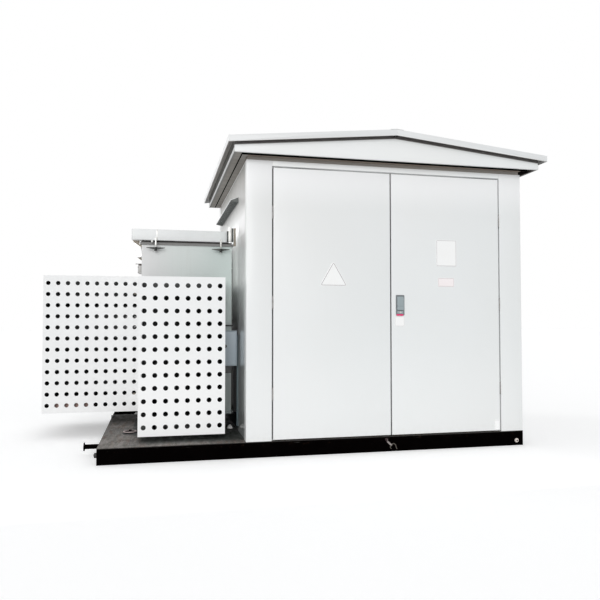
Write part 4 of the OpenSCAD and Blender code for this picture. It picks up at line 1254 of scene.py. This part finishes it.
class SUBSTATION_OT_trims(Builder, bpy.types.Operator):
    """Adds the hems of the eaves, the strips beside the tank, the guards' stays, the radiators'
    foot headers and the fasteners of deck and base."""

    bl_idname = "substation.trims"
    bl_label = "Add the trims"

    STUD_X = 1.833
    GAP_TOP = 1.02
    # Each deck bolt's name, its place on the deck and its radius
    BOLTS = (("deck_bolt_rear", -1.651, 0.655, 0.014), ("deck_bolt_side", -0.752, -0.46, 0.019))

    def bolt(self, name, x, y, z, radius):
        """Hexagon bolt with a washer, standing on the deck."""
        washer = rod(name, (x, y, z + 0.0015), radius * 1.6, 0.003, sides=28)
        place = (x, y, z + 0.003 + radius * 0.5)
        head = rod(name + "_head", place, radius * 1.25, radius, sides=6)
        rounded(head, "FACE", looks(ALONG_Z), radius * 0.16)
        place = (x, y, z + radius * 1.4)
        stub = rod(name + "_stub", place, radius * 0.6, radius * 0.7, sides=18)
        rounded(stub, "FACE", looks(ALONG_Z), radius * 0.12)
        piece = weld(eased(washer, 0.0006), head, stub)
        dress(piece, "bolt_zinc", slot="zinc")

    def nut(self, name, place, way, turn, radius, depth, material):
        """Hexagon nut on a washer, with the stud's end in its middle."""
        place = Vector(place)
        washer = rod(name, place + way * 0.002, radius * 1.12, 0.004, turn, 28)
        head = rod(name + "_head", place + way * (0.004 + depth / 2), radius, depth, turn, 6)
        rounded(head, "FACE", looks(way), radius * 0.12)
        end = rod(name + "_end", place + way * (0.006 + depth), radius * 0.42, 0.004, turn, 18)
        for piece, finish in (
            (weld(eased(washer, 0.0006), head), material), (eased(end, 0.001), "valve_bonnet")
        ):
            dress(piece, finish, slot="zinc", instead_of="earth_studs")

    def stay(self, name, guard, x):
        """Stay behind the outer holes of a guard, near black as painted shade behind the holes."""
        low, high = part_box(guard)
        back = high[1] + 0.004
        corner = (x + 0.050, back + 0.006, high[2] - 0.004)
        return name, (x, back, low[2] + 0.006), corner, 0.002, "rear_plate", "radiator_paint"

    def hem(self, name, x):
        """Hem along the eaves."""
        low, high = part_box("fascia_sides")
        corner = (x + 0.003, high[1] + 0.018, low[2] + HEM)
        return name, (x - 0.003, low[1] - 0.018, low[2]), corner, 0.001, "hem_paint", "cabin_paint"

    def foot(self, name, y):
        """Foot header of the left radiators."""
        low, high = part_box("left_radiators")
        corner = (high[0] - 0.03, y + 0.02, low[2] + 0.056)
        low = (low[0] - 0.01, y, low[2] - 0.044)
        return name, low, corner, 0.002, "foot_primer", "radiator_paint"

    def strips(self, deck):
        """Each strip's name, corners, edge radius, finish and slot."""
        wall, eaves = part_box("left_wall")[0][0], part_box("fascia_sides")
        (_, front, _), (tank_right, _, _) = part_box("tank_body")
        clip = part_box("junction_box")[1][2] + 0.042
        fins, top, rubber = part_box("left_radiators"), self.GAP_TOP, "black_plastic"
        left_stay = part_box("left_guard_panel")[0][0] + 0.024
        front_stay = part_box("front_guard_panel")[1][0] - 0.076
        yield self.stay("guard_stay_left", "left_guard_panel", left_stay)
        yield self.stay("guard_stay_front", "front_guard_panel", front_stay)
        yield self.hem("eaves_hem_left", eaves[0][0])
        yield self.hem("eaves_hem_right", eaves[1][0])
        # The angle in the gap is a real piece; its dark teal colour is painted shade of the gap.
        low, high = (wall - 0.010, front - 0.016, 0.17), (wall, front - 0.004, top)
        yield "gap_angle", low, high, 0.001, "gap_enamel", "cabin_paint"
        # The black strip across the gap between tank and wall stands for the gap's shade: painted
        # shade.
        low, high = (tank_right + 0.001, front + 0.004, 0.30), (wall - 0.004, front + 0.010, top)
        yield "gap_seal", low, high, 0.001, "seal_rubber", None
        low, high = (-0.835, front - 0.022, clip), (-0.738, front, clip + 0.013)
        yield "cable_clip", low, high, 0.002, rubber, rubber
        yield self.foot("fin_foot_1", fins[0][1] + 0.002)
        yield self.foot("fin_foot_2", fins[1][1] - 0.022)
        low, high = (SEAM_LEFT, -1.199, deck - 0.004), (SEAM_RIGHT, 0.676, deck - 0.0004)
        yield "deck_seam", low, high, 0.0003, rubber, "deck_plate"

    def execute(self, context):
        left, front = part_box("base_end_channels")[0][0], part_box("base_long_channels")[0][1]
        place, turn = (left, front + 0.048, 0.073), (0, radians(90), 0)
        self.nut("stud_nut_left", place, -ALONG_X, turn, 0.022, 0.018, "black_plastic")
        place = (self.STUD_X, front, 0.046)
        self.nut("stud_nut_front", place, FORWARD, ON_Y, 0.0175, 0.008, "nut_zinc")
        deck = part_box("bay_deck")[1][2]
        for name, low, high, width, material, slot in self.strips(deck):
            dress(eased(block(name, low, high), width), material, slot=slot)
        for name, x, y, radius in self.BOLTS:
            self.bolt(name, x, y, deck, radius)
        return {"FINISHED"}


class SUBSTATION_OT_stage(Builder, bpy.types.Operator):
    """Lays the floor and sets the light and the camera."""

    bl_idname = "substation.stage"
    bl_label = "Set the stage"

    CAMERA_PLACE = (-1.4255, -6.4297, 1.1486)
    CAMERA_TILT, CAMERA_TURN = 91.995, -12.838
    KEY_WAY, RIM_WAY = (0.28, 0.87, -0.24), (0.8, -0.45, -0.10)

    def light(self, kind, name, place, way, energy):
        """A light that shines along a direction."""
        bpy.ops.object.light_add(type=kind, location=place)
        lamp = bpy.context.object
        lamp.name = name
        lamp.rotation_euler = Vector(way).to_track_quat("-Z", "Y").to_euler()
        lamp.data.energy = energy
        return lamp

    def far_lamp(self, name, way, angle, strength):
        """A far lamp, as wide as an angle."""
        self.light("SUN", name, Vector(way) * -8.0, way, strength).data.angle = angle

    def panel_lamp(self, name, place, way, size, energy, spread):
        """A flat lamp that is not seen itself."""
        lamp = self.light("AREA", name, place, way, energy)
        lamp.data.shape = "RECTANGLE"
        lamp.data.size, lamp.data.size_y = size
        lamp.data.spread = spread
        lamp.visible_camera = lamp.visible_glossy = False

    def floor_finish(self, pale):
        """Pale floor that stays white to the camera and keeps a soft shadow."""
        finish = Finish(pale)
        finish.lay(finish.noise(3.0, 3.0) * 0.1, shade(pale, 0.97))
        material = finish.done(0.9)
        material.name = "stage_floor"
        seen = finish.ray("Is Camera Ray") | finish.ray("Is Glossy Ray")
        grey = finish.node("ShaderNodeBsdfDiffuse", None, {0: (0.62, 0.62, 0.62, 1)})
        glow = finish.node("ShaderNodeEmission", None, {0: (1, 1, 1, 1), 1: 0.30})
        own = Signal(finish, finish.shader.outputs[0])
        bright = finish.node("ShaderNodeAddShader", None, {0: own, 1: glow})
        mixed = finish.node("ShaderNodeMixShader", None, {0: seen, 1: grey, 2: bright})
        finish.plug(finish.surface, mixed)
        return material

    def sky(self, scene, strength):
        """White backdrop, and a plain even light from it."""
        scene.world = bpy.data.worlds.new("studio")
        world = Nodes(scene.world, "ShaderNodeOutputWorld")
        seen = world.ray("Is Camera Ray") | world.ray("Is Glossy Ray")
        seen = seen | world.ray("Is Transmission Ray")
        light = world.node("ShaderNodeBackground", None, {0: (0.98, 0.99, 1.0, 1.0), 1: strength})
        white = world.node("ShaderNodeBackground", None, {0: (1.0, 1.0, 1.0, 1.0), 1: 1.0})
        mixed = world.node("ShaderNodeMixShader", None, {0: seen, 1: light, 2: white})
        world.plug(world.surface, mixed)

    def lamps(self, studio):
        """Two far lamps, three small ones by the tank, and a long low one in front."""
        self.far_lamp("key", self.KEY_WAY, 0.6, studio.key)
        self.far_lamp("rim", self.RIM_WAY, 0.35, studio.rim)
        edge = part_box("tank_body")[1][0]
        for name, place, way, size, energy, spread in (
            ("gap_strip", (edge - 0.007, -0.12, 2.06), -ALONG_Z, (0.03, 0.9), studio.gap, 180),
            ("gap_wash", (edge + 0.002, -0.335, 1.68), ALONG_X, (0.43, 0.40), studio.wash, 180),
            ("cover_fill", (edge - 0.912, 0.245, 1.74), ALONG_Z, (0.06, 1.55), studio.under, 50),
            ("low_fill", (0.0, -2.6, 0.34), ALONG_Y, (6.2, 0.5), studio.fill, 180),
        ):
            self.panel_lamp(name, place, way, size, energy, radians(spread))

    def camera(self, scene, lens):
        """Camera in front, a little to the left."""
        bpy.ops.object.camera_add(location=self.CAMERA_PLACE)
        scene.camera = bpy.context.object
        turn = (radians(self.CAMERA_TILT), 0, radians(self.CAMERA_TURN))
        scene.camera.rotation_euler = turn
        scene.camera.data.lens = lens
        scene.camera.data.sensor_width = 36

    def execute(self, context):
        scene = context.scene
        studio = scene.substation_studio
        clear_selection()
        bpy.ops.mesh.primitive_plane_add(size=160, location=(0, 0, -0.0005))
        floor = context.object
        floor.name = "floor"
        floor.data.materials.append(self.floor_finish(tuple(studio.floor)))
        self.sky(scene, studio.sky)
        self.lamps(studio)
        self.camera(scene, studio.lens)
        scene.view_settings.view_transform = "Standard"
        return {"FINISHED"}


class SUBSTATION_PT_panel(bpy.types.Panel):
    """Steps of the substation, in order."""

    bl_label = "Substation"
    bl_space_type = "VIEW_3D"
    bl_region_type = "UI"
    bl_category = "Substation"

    def draw(self, context):
        for step in STEPS:
            self.layout.operator(step.bl_idname)
        for name, group in GROUPS.items():
            for setting in group.__annotations__:
                self.layout.prop(getattr(context.scene, name), setting)


STEPS = (
    SUBSTATION_OT_paint_frame,
    SUBSTATION_OT_sheet_metal,
    SUBSTATION_OT_seals,
    SUBSTATION_OT_plates,
    SUBSTATION_OT_lock,
    SUBSTATION_OT_clamps,
    SUBSTATION_OT_valve,
    SUBSTATION_OT_trims,
    SUBSTATION_OT_stage,
)
GROUPS = {
    "substation_paint": SubstationPaint,
    "substation_trim": SubstationTrim,
    "substation_studio": SubstationStudio,
}


def register():
    """Registers the classes and adds their settings to the scene."""
    for item in (*GROUPS.values(), *STEPS, SUBSTATION_PT_panel):
        bpy.utils.register_class(item)
    for name, group in GROUPS.items():
        setattr(bpy.types.Scene, name, PointerProperty(type=group))


def unregister():
    """Removes what register added."""
    for name in GROUPS:
        delattr(bpy.types.Scene, name)
    for item in reversed((*GROUPS.values(), *STEPS, SUBSTATION_PT_panel)):
        bpy.utils.unregister_class(item)


def main():
    """Builds the looks."""
    register()
    for step in STEPS:
        group, name = step.bl_idname.split(".")
        getattr(getattr(bpy.ops, group), name)()


if __name__ == "__main__":
    main()
